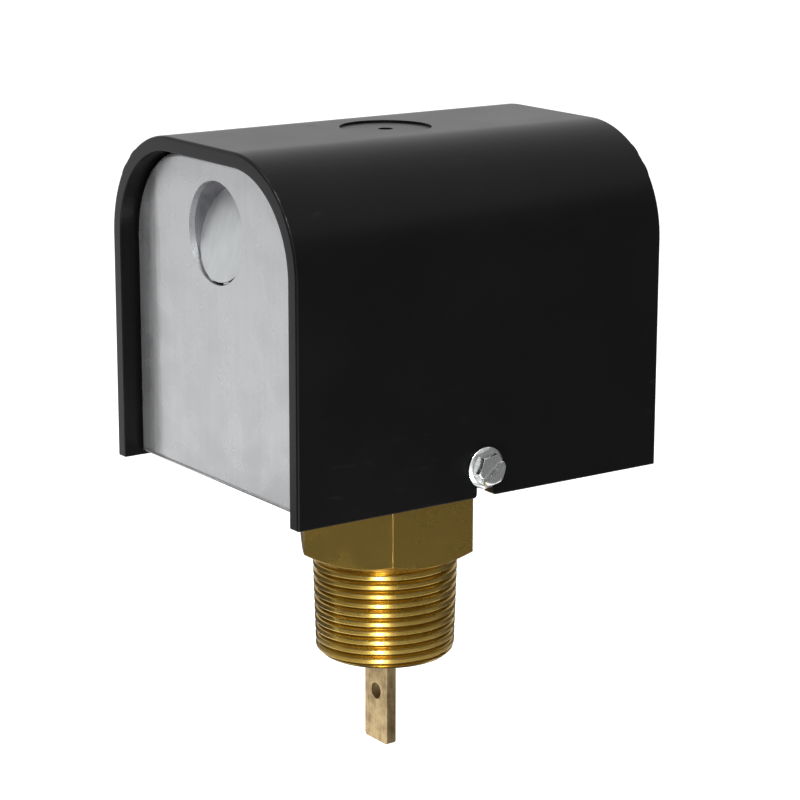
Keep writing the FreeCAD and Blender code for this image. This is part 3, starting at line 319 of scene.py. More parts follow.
    def roughness(self, source: Socket) -> "Graph":
        """Give the shader its roughness pattern."""
        self.link(source, self.shader.inputs["Roughness"])
        return self

    def bump(self, source: Socket, strength: float, depth: float) -> "Graph":
        """Raise and sink the surface slightly.

        Args:
            source: The pattern.
            strength: Share of the slope that shows.
            depth: Height of the pattern in millimetres.

        Returns:
            The graph itself.
        """
        node = self.tree.nodes.new("ShaderNodeBump")
        node.inputs["Strength"].default_value = strength
        node.inputs["Distance"].default_value = depth * MM
        self.link(source, node.inputs["Height"])
        previous = self.shader.inputs["Normal"].links
        if previous:
            self.link(previous[0].from_socket, node.inputs["Normal"])
        self.link(node.outputs["Normal"], self.shader.inputs["Normal"])
        return self


def scaled(colour: Point, share: float) -> Point:
    """Return a colour made darker or lighter by a share."""
    return tuple(c * share for c in colour)


@dataclass(frozen=True)
class Finish:
    """A finish, made once and then shared by its pieces."""

    name: str

    def paint(self, graph: Graph) -> None:
        """Set the graph's nodes."""
        raise NotImplementedError

    def material(self) -> bpy.types.Material:
        """Make the finish's material at the first call and find it at later ones.

        Returns:
            The material.
        """
        found = bpy.data.materials.get(self.name)
        if found is None:
            graph = Graph(self.name)
            self.paint(graph)
            found = graph.material
        return found


@dataclass(frozen=True)
class MouldedPlastic(Finish):
    """Satin black thermoset with fine grain, handling scuffs and a little dust."""

    base: Point = (0.0018, 0.0018, 0.0019)
    worn: Point = (0.016, 0.016, 0.017)
    clouded: float = 1.5
    refraction: float = 1.255

    def paint(self, graph: Graph) -> None:
        """Set the graph's nodes.

        Args:
            graph: The finish's node tree.
        """
        graph.fixed(IOR=self.refraction)
        cloud = graph.noise(38, detail=3)
        scratches = graph.noise(520, detail=6, rough=0.7, stretch=(0.5, 0.22, 1.1))
        scuffs = graph.ranged(scratches, 0.60, 0.78)
        patches = graph.ranged(graph.noise(24, detail=2, rough=0.5), 0.50, 0.68)
        wear = graph.joined(Join.PRODUCT, scuffs, patches)
        specks = graph.ranged(graph.cells(620), 0.10, 0.03, high=0.35)
        dust = graph.joined(Join.PRODUCT, specks, patches)
        marks = graph.joined(Join.LARGER, wear, dust)
        body = graph.ramp(cloud, (0.3, self.base),
                          (0.7, scaled(self.base, self.clouded)))
        graph.colour(graph.mixed(marks, body, self.worn))
        satin = graph.joined(Join.SUM, graph.joined(Join.PRODUCT, cloud, 0.6), wear)
        graph.roughness(graph.ranged(satin, 0.1, 1.3, low=0.30, high=0.52))
        graph.bump(graph.noise(4200, detail=2, rough=0.6), strength=0.10, depth=0.02)
        graph.bump(graph.noise(60, detail=1, rough=0.4), strength=0.10, depth=0.12)


@dataclass(frozen=True)
class PlatedSteel(Finish):
    """Semi-gloss zinc plate on sheet steel, with soft clouds and a faint grain."""

    light: Point = (0.66, 0.67, 0.69)
    dark: Point = (0.52, 0.54, 0.57)
    smooth: float = 0.36
    metal: float = 1.0
    black: float = 0.22

    def paint(self, graph: Graph) -> None:
        """Set the graph's nodes.

        Args:
            graph: The finish's node tree.
        """
        graph.fixed(Metallic=self.metal)
        cloud = graph.noise(45, detail=3, rough=0.5)
        grain = graph.noise(700, detail=1, rough=0.4, stretch=(1, 1, 0.06))
        both = graph.joined(Join.PRODUCT, graph.joined(Join.SUM, cloud, grain), 0.5)
        # For the chassis plate, painted shade goes into the colour here.
        graph.colour(graph.ramp(self.painted_shade(graph, both),
                                (0.0, scaled(self.dark, self.black)),
                                (0.32, self.dark), (0.62, self.light)))
        graph.roughness(graph.ranged(graph.noise(150, detail=1), 0.3, 0.7,
                                     low=self.smooth - 0.04, high=self.smooth + 0.08))
        graph.bump(graph.noise(70, detail=1), strength=0.08, depth=0.08)

    def painted_shade(self, graph: Graph, even: Socket) -> Socket:
        """Return the plate's pattern as it is, for a plate with no painted shade."""
        return even


@dataclass(frozen=True)
class ChassisPlateWithPaintedShade(PlatedSteel):
    """Zinc plate with painted shade beside the cover's left wall, where its shadow and
    dark reflection fall, and along the bend of its lower edge.
    """

    # Painted shade: a band beside the left wall and a band along the lower bend, in
    # millimetres, each with the share of colour left at its darkest end.
    wall: Pair = (-26.8, -21.2)
    wall_shade_share: float = 0.28
    lower_shade_band: Pair = (23.4, 24.2)
    lower_shade_share: float = 0.35

    def painted_shade(self, graph: Graph, even: Socket) -> Socket:
        """Darken the pattern at both edges with painted shade.

        Args:
            graph: The finish's node tree.
            even: The plate's cloudy pattern.

        Returns:
            The pattern, lower where the shade is painted.
        """
        # Painted shade: darker beside the left wall and along the lower bend.
        for axis, (start, end), share in ((Axis.ACROSS, self.wall, self.wall_shade_share),
                                          (Axis.UP, self.lower_shade_band, self.lower_shade_share)):
            edge = graph.ranged(graph.along(axis), start * MM, end * MM, low=share)
            even = graph.joined(Join.PRODUCT, even, edge)
        return even


@dataclass(frozen=True)
class Brass(Finish):
    """Machined brass with a brown bloom of tarnish."""

    bright: Point = (0.54, 0.365, 0.092)
    dull: Point = (0.34, 0.22, 0.045)
    smooth: float = 0.21

    def paint(self, graph: Graph) -> None:
        """Set the graph's nodes.

        Args:
            graph: The finish's node tree.
        """
        graph.fixed(Metallic=1.0)
        bloom = graph.noise(95, detail=3, rough=0.5)
        stain = graph.noise(420, detail=2, rough=0.5)
        both = graph.weighed(bloom, 0.8, stain, 0.2)
        graph.colour(graph.ramp(both, (0.30, self.dull), (0.66, self.bright)))
        graph.roughness(graph.ranged(both, 0.3, 0.65, low=self.smooth + 0.16,
                                     high=self.smooth - 0.03))
        graph.bump(graph.noise(130, detail=2), strength=0.05, depth=0.08)


@dataclass(frozen=True)
class RolledBronze(Finish):
    """Tan bronze strip, mottled, with rolling streaks along its length."""

    light: Point = (0.52, 0.39, 0.20)
    dark: Point = (0.27, 0.18, 0.085)

    def paint(self, graph: Graph) -> None:
        """Set the graph's nodes.

        Args:
            graph: The finish's node tree.
        """
        graph.fixed(Metallic=1.0)
        mottle = graph.noise(330, detail=6, rough=0.7)
        streak = graph.noise(1500, detail=3, rough=0.6, stretch=(1, 1, 0.12))
        both = graph.weighed(mottle, 0.65, streak, 0.35)
        graph.colour(graph.ramp(both, (0.33, self.dark), (0.56, self.light)))
        graph.roughness(graph.ranged(mottle, 0.3, 0.7, low=0.48, high=0.34))
        graph.bump(streak, strength=0.15, depth=0.03)


@dataclass(frozen=True)
class DrawnSteel(Finish):
    """Drawn steel, for pins, clips and springs, with fine lines along the draw."""

    tint: Point = (0.50, 0.50, 0.52)
    stained: float = 0.72
    smooth: float = 0.24
    draw: Point = (0.06, 1.0, 1.0)

    def paint(self, graph: Graph) -> None:
        """Set the graph's nodes.

        Args:
            graph: The finish's node tree.
        """
        graph.fixed(Metallic=1.0)
        lines = graph.noise(3200, detail=3, rough=0.6, stretch=self.draw)
        stain = graph.noise(300, detail=5, rough=0.6)
        graph.colour(graph.ramp(stain, (0.35, scaled(self.tint, self.stained)),
                                (0.62, self.tint)))
        graph.roughness(graph.ranged(stain, 0.3, 0.7, low=self.smooth + 0.10,
                                     high=self.smooth))
        graph.bump(lines, strength=0.12, depth=0.01)


@dataclass(frozen=True)
class BrightZinc(Finish):
    """Bright zinc on a small screw, glossy with a few dull spots."""

    tint: Point = (0.86, 0.88, 0.87)
    spotted: float = 0.62

    def paint(self, graph: Graph) -> None:
        """Set the graph's nodes.

        Args:
            graph: The finish's node tree.
        """
        graph.fixed(Metallic=1.0)
        spots = graph.ranged(graph.noise(700, detail=5, rough=0.6), 0.45, 0.72)
        graph.colour(graph.ramp(spots, (0.0, self.tint),
                                (1.0, scaled(self.tint, self.spotted))))
        graph.roughness(graph.ranged(spots, 0, 1, low=0.17, high=0.40))
        graph.bump(graph.noise(1600, detail=3), strength=0.10, depth=0.02)


@dataclass(frozen=True)
class DarkMoulding(Finish):
    """Dense moulded insulating material or rubber, with a fine even grain."""

    base: Point = (0.045, 0.018, 0.011)
    speck: Point = (0.085, 0.042, 0.028)
    smooth: float = 0.34
    grain: float = 0.08

    def paint(self, graph: Graph) -> None:
        """Set the graph's nodes.

        Args:
            graph: The finish's node tree.
        """
        flecks = graph.ranged(graph.noise(2600, detail=3, rough=0.7), 0.52, 0.68)
        graph.colour(graph.ramp(flecks, (0, self.base), (1, self.speck)))
        graph.roughness(graph.ranged(graph.noise(210), 0.3, 0.7,
                                     low=self.smooth - 0.04, high=self.smooth + 0.12))
        graph.bump(graph.noise(3800, detail=2, rough=0.6), self.grain, depth=0.02)


@dataclass(frozen=True)
class GreenPassivate(Finish):
    """Green chromate over zinc, with a slight gold bloom."""

    base: Point = (0.03, 0.24, 0.08)
    bloom: Point = (0.12, 0.30, 0.07)

    def paint(self, graph: Graph) -> None:
        """Set the graph's nodes.

        Args:
            graph: The finish's node tree.
        """
        graph.fixed(Metallic=0.8)
        cloud = graph.noise(420)
        graph.colour(graph.ramp(cloud, (0.35, self.base), (0.7, self.bloom)))
        graph.roughness(graph.ranged(cloud, 0.3, 0.7, low=0.26, high=0.40))
        graph.bump(graph.noise(1800, detail=3), strength=0.10, depth=0.02)


@dataclass(frozen=True)
class StudioFloor(Finish):
    """A pale, even sweep with a barely visible mottle."""

    tint: Point = (0.80, 0.80, 0.80)
    mottle: float = 0.985
    glow: float = 0.50

    def paint(self, graph: Graph) -> None:
        """Set the graph's nodes.

        Args:
            graph: The finish's node tree.
        """
        graph.fixed(Emission_Color=(1, 1, 1, 1), Emission_Strength=self.glow, IOR=1.1)
        cloud = graph.noise(3, detail=2)
        graph.colour(graph.ramp(cloud, (0.3, scaled(self.tint, self.mottle)),
                                (0.7, self.tint)))
        grain = graph.noise(8, detail=2)
        graph.roughness(graph.ranged(grain, 0, 1, low=0.85, high=0.95))


@dataclass(frozen=True)
class StudioCard(Finish):
    """Dull grey card, of the kind that stands beside a shiny object in a studio."""

    shade: float = 0.10
    dark: Point = (0.02, 0.02, 0.02)
    light: Point = (0.03, 0.03, 0.03)

    def paint(self, graph: Graph) -> None:
        """Set the graph's nodes.

        Args:
            graph: The finish's node tree.
        """
        graph.fixed(Emission_Color=(1, 1, 1, 1), Emission_Strength=self.shade)
        cloud = graph.noise(5, detail=2)
        graph.colour(graph.ramp(cloud, (0.3, self.dark), (0.7, self.light)))
        grain = graph.noise(8, detail=2)
        graph.roughness(graph.ranged(grain, 0, 1, low=0.9, high=1.0))


FINISHES: dict[Slot, Finish] = {
    Slot.COVER: MouldedPlastic("satin_black_moulding"),
    Slot.SHEET: PlatedSteel("zinc_plated_sheet"),
    Slot.BODY: Brass("machined_body_brass"),
    Slot.BAR: RolledBronze("rolled_bar_bronze"),
    Slot.BELLOWS: RolledBronze("thin_bellows_bronze", light=(0.58, 0.36, 0.20),
                               dark=(0.34, 0.19, 0.09)),
    Slot.SEAL: DarkMoulding("seal_rubber_black", base=(0.012, 0.012, 0.012),
                            speck=(0.03, 0.03, 0.03), smooth=0.55, grain=0.18),
    Slot.PIN: DrawnSteel("ground_pin_steel"),
    Slot.SPRING: DrawnSteel("drawn_spring_wire", tint=(0.38, 0.38, 0.40), smooth=0.28,
                            draw=(1, 0.05, 1)),
    Slot.SCREW: BrightZinc("bright_zinc_screw"),
    Slot.CONTACT: Brass("contact_fitting_brass", bright=(0.70, 0.52, 0.24),
                        dull=(0.46, 0.31, 0.12), smooth=0.22),
    Slot.CASE: DarkMoulding("switch_case_phenolic"),
    Slot.PLUNGER: DarkMoulding("red_plunger_moulding", base=(0.42, 0.02, 0.015),
                               speck=(0.55, 0.05, 0.04), smooth=0.20, grain=0.04),
    Slot.EARTH: GreenPassivate("green_earth_screw"),
}


# ------------------------------------------------------------------ mesh steps


def new_piece(name: str, points: Iterable[Sequence[float]],
              faces: Iterable[Sequence[int]]) -> bpy.types.Object:
    """Make a piece from points in millimetres.

    Args:
        name: The piece's name.
        points: Corners of its faces.
        faces: Corner numbers of each face.

    Returns:
        The piece, with doubled points merged and its faces turned outwards.
    """
    mesh = bpy.data.meshes.new(name)
    corners = [tuple(c * MM for c in point) for point in points]
    mesh.from_pydata(corners, [], list(faces))
    work = bmesh.new()
    work.from_mesh(mesh)
    bmesh.ops.remove_doubles(work, verts=work.verts, dist=NEAR * MM)
    bmesh.ops.dissolve_degenerate(work, dist=NEAR * MM / 10, edges=work.edges)
    bmesh.ops.recalc_face_normals(work, faces=work.faces)
    work.to_mesh(mesh)
    work.free()
    piece = bpy.data.objects.new(name, mesh)
    bpy.context.scene.collection.objects.link(piece)
    return piece


def outwards(piece: bpy.types.Object) -> bpy.types.Object:
    """Turn a piece's faces outwards again, as after it was mirrored.

    Args:
        piece: The piece.

    Returns:
        The piece.
    """
    work = bmesh.new()
    work.from_mesh(piece.data)
    bmesh.ops.recalc_face_normals(work, faces=work.faces)
    work.to_mesh(piece.data)
    work.free()
    return piece


def dropped(piece: bpy.types.Object) -> None:
    """Delete a piece that has served as a tool, with its mesh.

    Args:
        piece: The piece.
    """
    mesh = piece.data
    bpy.data.objects.remove(piece)
    bpy.data.meshes.remove(mesh)


def settled(piece: bpy.types.Object) -> bpy.types.Object:
    """Make a piece's modifiers part of its mesh.

    Args:
        piece: The piece.

    Returns:
        The piece.
    """
    bpy.context.view_layer.update()
    graph = bpy.context.evaluated_depsgraph_get()
    mesh = bpy.data.meshes.new_from_object(
        piece.evaluated_get(graph), preserve_all_data_layers=True, depsgraph=graph)
    old = piece.data
    piece.modifiers.clear()
    piece.data = mesh
    bpy.data.meshes.remove(old)
    return piece


def rounded(piece: bpy.types.Object, width: float, segments: int,
            least: float = 30, weighted: bool = False) -> bpy.types.Object:
    """Round a piece's edges.

    Args:
        piece: The piece.
        width: Width of the rounding in millimetres.
        segments: Faces across it.
        least: Least angle between two faces, in degrees, whose edge is rounded.
        weighted: Whether the edges' own weights choose and scale the rounding instead.

    Returns:
        The piece.
    """
    step = piece.modifiers.new("rounding", "BEVEL")
    step.width = width * MM
    step.segments = segments
    step.limit_method = "WEIGHT" if weighted else "ANGLE"
    step.angle_limit = math.radians(least)
    step.miter_outer = "MITER_ARC"
    return settled(piece)


def combined(piece: bpy.types.Object, tool: bpy.types.Object,
             kept: Cut = Cut.OUTSIDE) -> bpy.types.Object:
    """Cut one piece with another, and drop the tool.

    Args:
        piece: The piece to change.
        tool: The cutting piece.
        kept: The part of the piece that stays.

    Returns:
        The changed piece.
    """
    step = piece.modifiers.new("cut", "BOOLEAN")
    step.operation = kept.value
    step.solver = "EXACT"
    step.object = tool
    settled(piece)
    dropped(tool)
    return piece


def merged(piece: bpy.types.Object, other: bpy.types.Object) -> bpy.types.Object:
    """Join another piece's mesh into the first piece.

    Args:
        piece: The piece that stays.
        other: The piece that goes into it.

    Returns:
        The joined piece.
    """
    work = bmesh.new()
    work.from_mesh(piece.data)
    work.from_mesh(other.data)
    work.to_mesh(piece.data)
    work.free()
    dropped(other)
    return piece


def smoothed(piece: bpy.types.Object, sharp: float) -> bpy.types.Object:
    """Shade a piece smoothly, with its sharp edges kept.

    Args:
        piece: The piece.
        sharp: Angle in degrees above which an edge stays sharp.

    Returns:
        The piece.
    """
    mesh = piece.data
    mesh.shade_smooth()
    mesh.set_sharp_from_angle(angle=math.radians(sharp))
    step = piece.modifiers.new("normals", "WEIGHTED_NORMAL")
    step.keep_sharp = True
    return settled(piece)


def moved(piece: bpy.types.Object, matrix: Matrix) -> bpy.types.Object:
    """Move a piece's mesh.

    Args:
        piece: The piece.
        matrix: The move, in millimetres.

    Returns:
        The piece.
    """
    scale = Matrix.Diagonal((MM, MM, MM, 1))
    piece.data.transform(scale @ matrix @ scale.inverted())
    return piece


def facing(direction: Point, place: Point) -> Matrix:
    """Return the matrix that turns +Z to a direction and moves to a place."""
    turn = Vector(direction).to_track_quat("Z", "Y").to_matrix().to_4x4()
    return Matrix.Translation(Vector(place)) @ turn


def lathed(name: str, profile: Sequence[Pair], steps: int = 96,
           closed: bool = False) -> bpy.types.Object:
    """Turn a profile round the Z axis.

    Args:
        name: The piece's name.
        profile: Radius and height of each corner, in millimetres.
        steps: Faces round the axis.
        closed: Whether the last corner joins the first, as for a ring.

    Returns:
        The turned piece.
    """
    points = [(r * math.cos(2 * math.pi * s / steps),
               r * math.sin(2 * math.pi * s / steps), z)
              for s in range(steps) for r, z in profile]
    count = len(profile)
    spans = count if closed else count - 1
    faces = []
    for s in range(steps):
        after = (s + 1) % steps
        for k in range(spans):
            j = (k + 1) % count
            faces.append([s * count + k, after * count + k,
                          after * count + j, s * count + j])
    return new_piece(name, points, faces)


def prism(name: str, outline: Sequence[Pair],
          low: float, high: float) -> bpy.types.Object:
    """Raise an outline along Z.

    Args:
        name: The piece's name.
        outline: Its corners in order.
        low: Height of the lower face.
        high: Height of the upper face.

    Returns:
        The piece.
    """
    count = len(outline)
    points = [(x, y, z) for z in (low, high) for x, y in outline]
    faces = [list(range(count)), list(range(count, 2 * count))]
    faces += [[k, (k + 1) % count, count + (k + 1) % count, count + k]
              for k in range(count)]
    return new_piece(name, points, faces)


def disc(radius: float, steps: int = 64, y: float = 0) -> list[Pair]:
    """Return the outline of a circle, round a middle on the second axis."""
    return [(radius * math.cos(2 * math.pi * s / steps),
             y + radius * math.sin(2 * math.pi * s / steps)) for s in range(steps)]


def hexagon(flats: float, turned: float = 30) -> list[Pair]:
    """Return the outline of a hexagon.

    Args:
        flats: Size across flats.
        turned: Angle of its first corner, in degrees.

    Returns:
        Its corners.
    """
    corner = flats / math.sqrt(3)
    return [(corner * math.cos(math.radians(60 * k + turned)),
             corner * math.sin(math.radians(60 * k + turned))) for k in range(6)]


def coil(name: str, mean: float, wire: float, heights: Sequence[float],
         turns: Sequence[float], steps: int = 40, sides: int = 10) -> bpy.types.Object:
    """Wind a closed round wire round the Z axis.

    Args:
        name: The piece's name.
        mean: Radius of the wire's centreline.
        wire: Radius of the wire.
        heights: Heights of the centreline at the given turns.
        turns: Turns wound at each height.
        steps: Rings of the wire to the turn.
        sides: Faces round the wire.

    Returns:
        The wound piece.
    """
    rings = round((turns[-1] - turns[0]) * steps)
    points: list[Point] = []
    for ring in range(rings + 1):
        wound = turns[0] + (turns[-1] - turns[0]) * ring / rings
        for first in range(len(turns) - 1):
            if wound <= turns[first + 1] + NEAR / steps:
                break
        share = (wound - turns[first]) / (turns[first + 1] - turns[first])
        z = heights[first] + (heights[first + 1] - heights[first]) * share
        around = 2 * math.pi * wound
        out = (math.cos(around), math.sin(around))
        for side in range(sides):
            turn = 2 * math.pi * side / sides
            r = mean + wire * math.cos(turn)
            points.append((r * out[0], r * out[1], z + wire * math.sin(turn)))
    faces = [[r * sides + s, r * sides + (s + 1) % sides,
              (r + 1) * sides + (s + 1) % sides, (r + 1) * sides + s]
             for r in range(rings) for s in range(sides)]
    faces.append(list(range(sides)))
    faces.append(list(range(rings * sides, (rings + 1) * sides)))
    return new_piece(name, points, faces)


def dress(piece: bpy.types.Object, slot: Slot,
          finish: Finish | None = None) -> bpy.types.Object:
    """Give a piece the finish of its slot, or one of its own.

    Args:
        piece: The piece.
        slot: The slot.
        finish: A finish of its own, where it differs from the slot's.

    Returns:
        The piece.
    """
    piece.data.materials.clear()
    piece.data.materials.append((finish or FINISHES[slot]).material())
    return piece


def shown(piece: bpy.types.Object, body: Rides, *nodes: str) -> bpy.types.Object:
    """Let a piece move with its body in the place of CAD nodes, and log it.

    Args:
        piece: The finished piece.
        body: The body that it moves with.
        *nodes: The nodes that it stands for.

    Returns:
        The piece.
    """
    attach(piece, body.value)
    if nodes:
        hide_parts(*nodes)
    LOG.info("%s rides %s, %d faces", piece.name, body.value, len(piece.data.polygons))
    return piece


# ------------------------------------------------------------------ the cover


@dataclass
class CoverShell:
    """The moulded cover: an arch over the chassis, open below and at both ends."""

    half_width: float = 38.05
    half_length: float = 48.125
    bottom: float = 21.55
    top: float = 97.8
    shoulder: float = 24.5
    wall: float = 3.3
    edge: float = 1.0
    mouth: float = 0.5
    inner_share: float = 0.35
    slot_half: float = 2.15
    slot_middle: float = 28.15
    slot_flare: float = 1.0
    slot_reach: Pair = (30.0, 45.0)
    slot_margin: float = 0.02
    clear: float = 2.0
    recess: float = 10.25
    recess_depth: float = 0.5
    gate: float = 1.65
    gate_depth: float = 0.5
    arc_steps: int = 28
    slot_steps: int = 12
    flare_steps: int = 6
    recess_steps: int = 96
    gate_steps: int = 40

    def arch(self, inset: float) -> list[Pair]:
        """Return the arch's line from the right foot over to the left foot.

        Args:
            inset: Distance inwards from the outer face.

        Returns:
            Points across and up.
        """
        half, radius = self.half_width - inset, self.shoulder - inset
        middle_x, middle_z = self.half_width - self.shoulder, self.top - self.shoulder
        right = [(half, self.bottom)]
        for step in range(self.arc_steps + 1):
            turn = math.pi / 2 * step / self.arc_steps
            right.append((middle_x + radius * math.cos(turn),
                          middle_z + radius * math.sin(turn)))
        return right + [(-x, z) for x, z in reversed(right)]

    def shell(self) -> bpy.types.Object:
        """Raise the plain arch and round its end, mouth and inner edges.

        Returns:
            The arch, without its slots and marks.
        """
        outer, inner = self.arch(0), self.arch(self.wall)
        count = len(outer)
        points: list[Point] = []
        for y in (-self.half_length, self.half_length):
            points += [(x, y, z) for x, z in outer] + [(x, y, z) for x, z in inner]
        far = 2 * count
        faces = []
        for k in range(count - 1):
            faces.append([k, k + 1, far + k + 1, far + k])
            faces.append([count + k, far + count + k,
                          far + count + k + 1, count + k + 1])
            faces.append([k, count + k, count + k + 1, k + 1])
            faces.append([far + k, far + k + 1, far + count + k + 1, far + count + k])
        for k in (0, count - 1):
            faces.append([k, far + k, far + count + k, count + k])
        piece = new_piece("cover_arch_moulded", points, faces)
        work = bmesh.new()
        work.from_mesh(piece.data)
        weight = work.edges.layers.float.new("bevel_weight_edge")
        outline = {(round(x, 3), round(z, 3)) for x, z in outer}
        for edge in work.edges:
            ends = [v.co / MM for v in edge.verts]
            at_end = all(abs(abs(p.y) - self.half_length) < NEAR for p in ends)
            outside = all((round(p.x, 3), round(p.z, 3)) in outline for p in ends)
            through = abs((ends[0] - ends[1]).length - self.wall) <= NEAR
            if all(abs(p.z - self.bottom) < NEAR for p in ends):
                edge[weight] = self.mouth / self.edge
            elif at_end and outside:
                edge[weight] = 1.0
            elif at_end and not through:
                edge[weight] = self.inner_share
        work.to_mesh(piece.data)
        work.free()
        return rounded(piece, self.edge, segments=4, weighted=True)

    def slot_tool(self, side: Side) -> bpy.types.Object:
        """Make the cutter of one long wall's screw slot, open at the mouth.

        Args:
            side: The wall.

        Returns:
            The cutter.
        """
        half, flare, low = self.slot_half, self.slot_flare, self.bottom
        foot = half + flare + self.slot_margin
        right: list[Pair] = [(foot, low - self.clear),
                             (foot, low - self.slot_margin / 2)]
        for step in range(self.flare_steps + 1):
            turn = math.pi / 2 * step / self.flare_steps
            right.append((half + flare - flare * math.sin(turn),
                          low + flare - flare * math.cos(turn)))
        for step in range(self.slot_steps + 1):
            turn = math.pi / 2 * step / self.slot_steps
            right.append((half * math.cos(turn),
                          self.slot_middle + half * math.sin(turn)))
        outline = right + [(-y, z) for y, z in reversed(right[:-1])]
        onto_wall = Matrix(((0, 0, side.value, 0), (1, 0, 0, 0),
                            (0, 1, 0, 0), (0, 0, 0, 1)))
        return outwards(moved(prism("slot_tool", outline, *self.slot_reach), onto_wall))

    def mark_tool(self, name: str, radius: float, depth: float,
                  steps: int) -> bpy.types.Object:
        """Make the cutter of a round moulding mark in the roof.

        Args:
            name: The cutter's name.
            radius: The mark's radius.
            depth: How far below the roof its floor lies.
            steps: Faces round it.

        Returns:
            The cutter.
        """
        return prism(name, disc(radius, steps), self.top - depth, self.top + self.clear)

    def build(self) -> None:
        """Build, cut and dress the cover."""
        piece = self.shell()
        for side in Side:
            combined(piece, self.slot_tool(side))
        gate_floor = self.recess_depth + self.gate_depth
        combined(piece, self.mark_tool("recess_tool", self.recess,
                                       self.recess_depth, self.recess_steps))
        combined(piece, self.mark_tool("gate_tool", self.gate,
                                       gate_floor, self.gate_steps))
        smoothed(piece, sharp=38)
        dress(piece, Slot.COVER)
        shown(piece, Rides.COVER, "cover")


# ------------------------------------------------------------------ brass body


@dataclass
class BrassBody:
    """The hexagon with its tapered pipe thread and its bore."""

    flats: float = 38.1
    height: float = 22.55
    face_inset: float = 1.35
    crown: float = 3.06
    bore: float = 11.0
    thread_radius: float = 16.7
    thread_length: float = 23.6
    pitch: float = 25.4 / 11.5
    depth: float = 0.95
    groove: float = 0.46
    root: float = 0.08
    taper: float = 1 / 32
    chamfer: float = 1.2
    bore_chamfer: float = 0.6
    edge: float = 0.07
    sunk: float = 0.2
    runout: float = 1.6
    runout_depth: float = 0.35
    steps: int = 144
    bore_steps: int = 96
    clear: float = 1.0
    rows: int = 14

    def hexagon_block(self) -> bpy.types.Object:
        """Cut the hexagon, with its corners turned off at both ends and its bore.

        Returns:
            The hexagon.
        """
        block = prism("brass_body_threaded", hexagon(self.flats), 0, self.height)
        face = self.flats / 2 - self.face_inset
        outside = self.flats / math.sqrt(3) + self.clear
        cone = lathed("cone_tool", [
            (0, 0), (face, 0), (outside, self.crown),
            (outside, self.height - self.crown), (face, self.height),
            (0, self.height)], self.steps)
        combined(block, cone, Cut.INSIDE)
        combined(block, prism("bore_tool", disc(self.bore, self.bore_steps),
                              -self.clear, self.height + self.clear))
        return rounded(block, self.edge, segments=2, least=24)

    def ridge(self, phase: float) -> float:
        """Return how deep the thread is cut at a share of its pitch, from 0 to 1."""
        away = abs(phase - 0.5) * 2
        return min(max((self.groove - away) / (self.groove - self.root), 0.0), 1.0)

    def thread(self) -> bpy.types.Object:
        """Wind the tapered ring with a right-hand thread and an end chamfer.

        Returns:
            The ring, which stands a little way into the hexagon.
        """
        low = -self.thread_length
        turns = self.thread_length / self.pitch
        count = int((turns + 2) * self.rows) + 1
        points: list[Point] = []
        for step in range(self.steps):
            around = 2 * math.pi * step / self.steps
            for row in range(count):
                phase = (row % self.rows) / self.rows
                z = low - self.pitch + row * self.pitch / self.rows
                z += self.pitch * step / self.steps
                level = min(max(z, low), self.sunk)
                crest = self.thread_radius + self.taper * level
                full = min(max((self.sunk - level) / self.runout, 0.0), 1.0)
                share = self.runout_depth + (1 - self.runout_depth) * full
                radius = min(crest - self.depth * self.ridge(phase) * share,
                             crest - self.chamfer + (level - low))
                points.append((radius * math.cos(around), radius * math.sin(around),
                               level))
        faces = []
        for step in range(self.steps):
            last = step == self.steps - 1
            other = 0 if last else step + 1
            shift = self.rows if last else 0
            for row in range(count - 1):
                a, b = step * count + row, step * count + row + 1
                c, d = other * count + row + 1 + shift, other * count + row + shift
                if row + 1 + shift < count:
                    faces.append([a, d, c, b])
        inner = len(points)
        ends = ((self.bore + self.bore_chamfer, low),
                (self.bore, low + self.bore_chamfer), (self.bore, self.sunk))
        for step in range(self.steps):
            around = 2 * math.pi * step / self.steps
            points += [(r * math.cos(around), r * math.sin(around), z) for r, z in ends]
        for step in range(self.steps):
            other = (step + 1) % self.steps
            a, b = inner + step * 3, inner + other * 3
            faces.append([a, b, b + 1, a + 1])
            faces.append([a + 1, b + 1, b + 2, a + 2])
            faces.append([step * count, a, b, other * count])
            faces.append([step * count + count - 1, other * count + count - 1,
                          b + 2, a + 2])
        return new_piece("pipe_thread_ring", points, faces)

    def build(self) -> None:
        """Build and dress the body."""
        block = smoothed(self.hexagon_block(), sharp=30)
        ring = smoothed(self.thread(), sharp=50)
        piece = merged(block, ring)
        dress(piece, Slot.BODY)
        shown(piece, Rides.HOUSING, "brass_body")


# ------------------------------------------------------------------ lever and bellows


@dataclass
class PaddleBar:
    """The flat bar that carries the paddle blades, with its clamp hole."""

    half_width: float = 4.55
    front: float = -2.5
    back: float = 0.0
    bottom: float = -45.85
    top: float = -2.85
    corner: float = 0.8
    edge: float = 0.22
    hole_radius: float = 1.85
    hole_height: float = -33.75
    clear: float = 2.5

    def build(self) -> None:
        """Build and dress the bar."""
        half, c = self.half_width, self.corner
        outline: list[Pair] = []
        for x, z, start in (
                (half - c, self.top - c, 0), (-half + c, self.top - c, 90),
                (-half + c, self.bottom + c, 180), (half - c, self.bottom + c, 270)):
            for turn in range(start, start + 91, 15):
                outline.append((x + c * math.cos(math.radians(turn)),
                                z + c * math.sin(math.radians(turn))))
        upright = Matrix(((1, 0, 0, 0), (0, 0, -1, 0), (0, 1, 0, 0), (0, 0, 0, 1)))
        strip = prism("paddle_bar_strip", outline, -self.back, -self.front)
        piece = moved(strip, upright)
        tool = prism("hole_tool", disc(self.hole_radius, 48, y=self.hole_height),
                     -self.back - self.clear, -self.front + self.clear)
        combined(piece, moved(tool, upright))
        rounded(piece, self.edge, segments=2, least=40)
        smoothed(piece, sharp=40)
        dress(piece, Slot.BAR)
        shown(piece, Rides.LEVER, "paddle_bar")


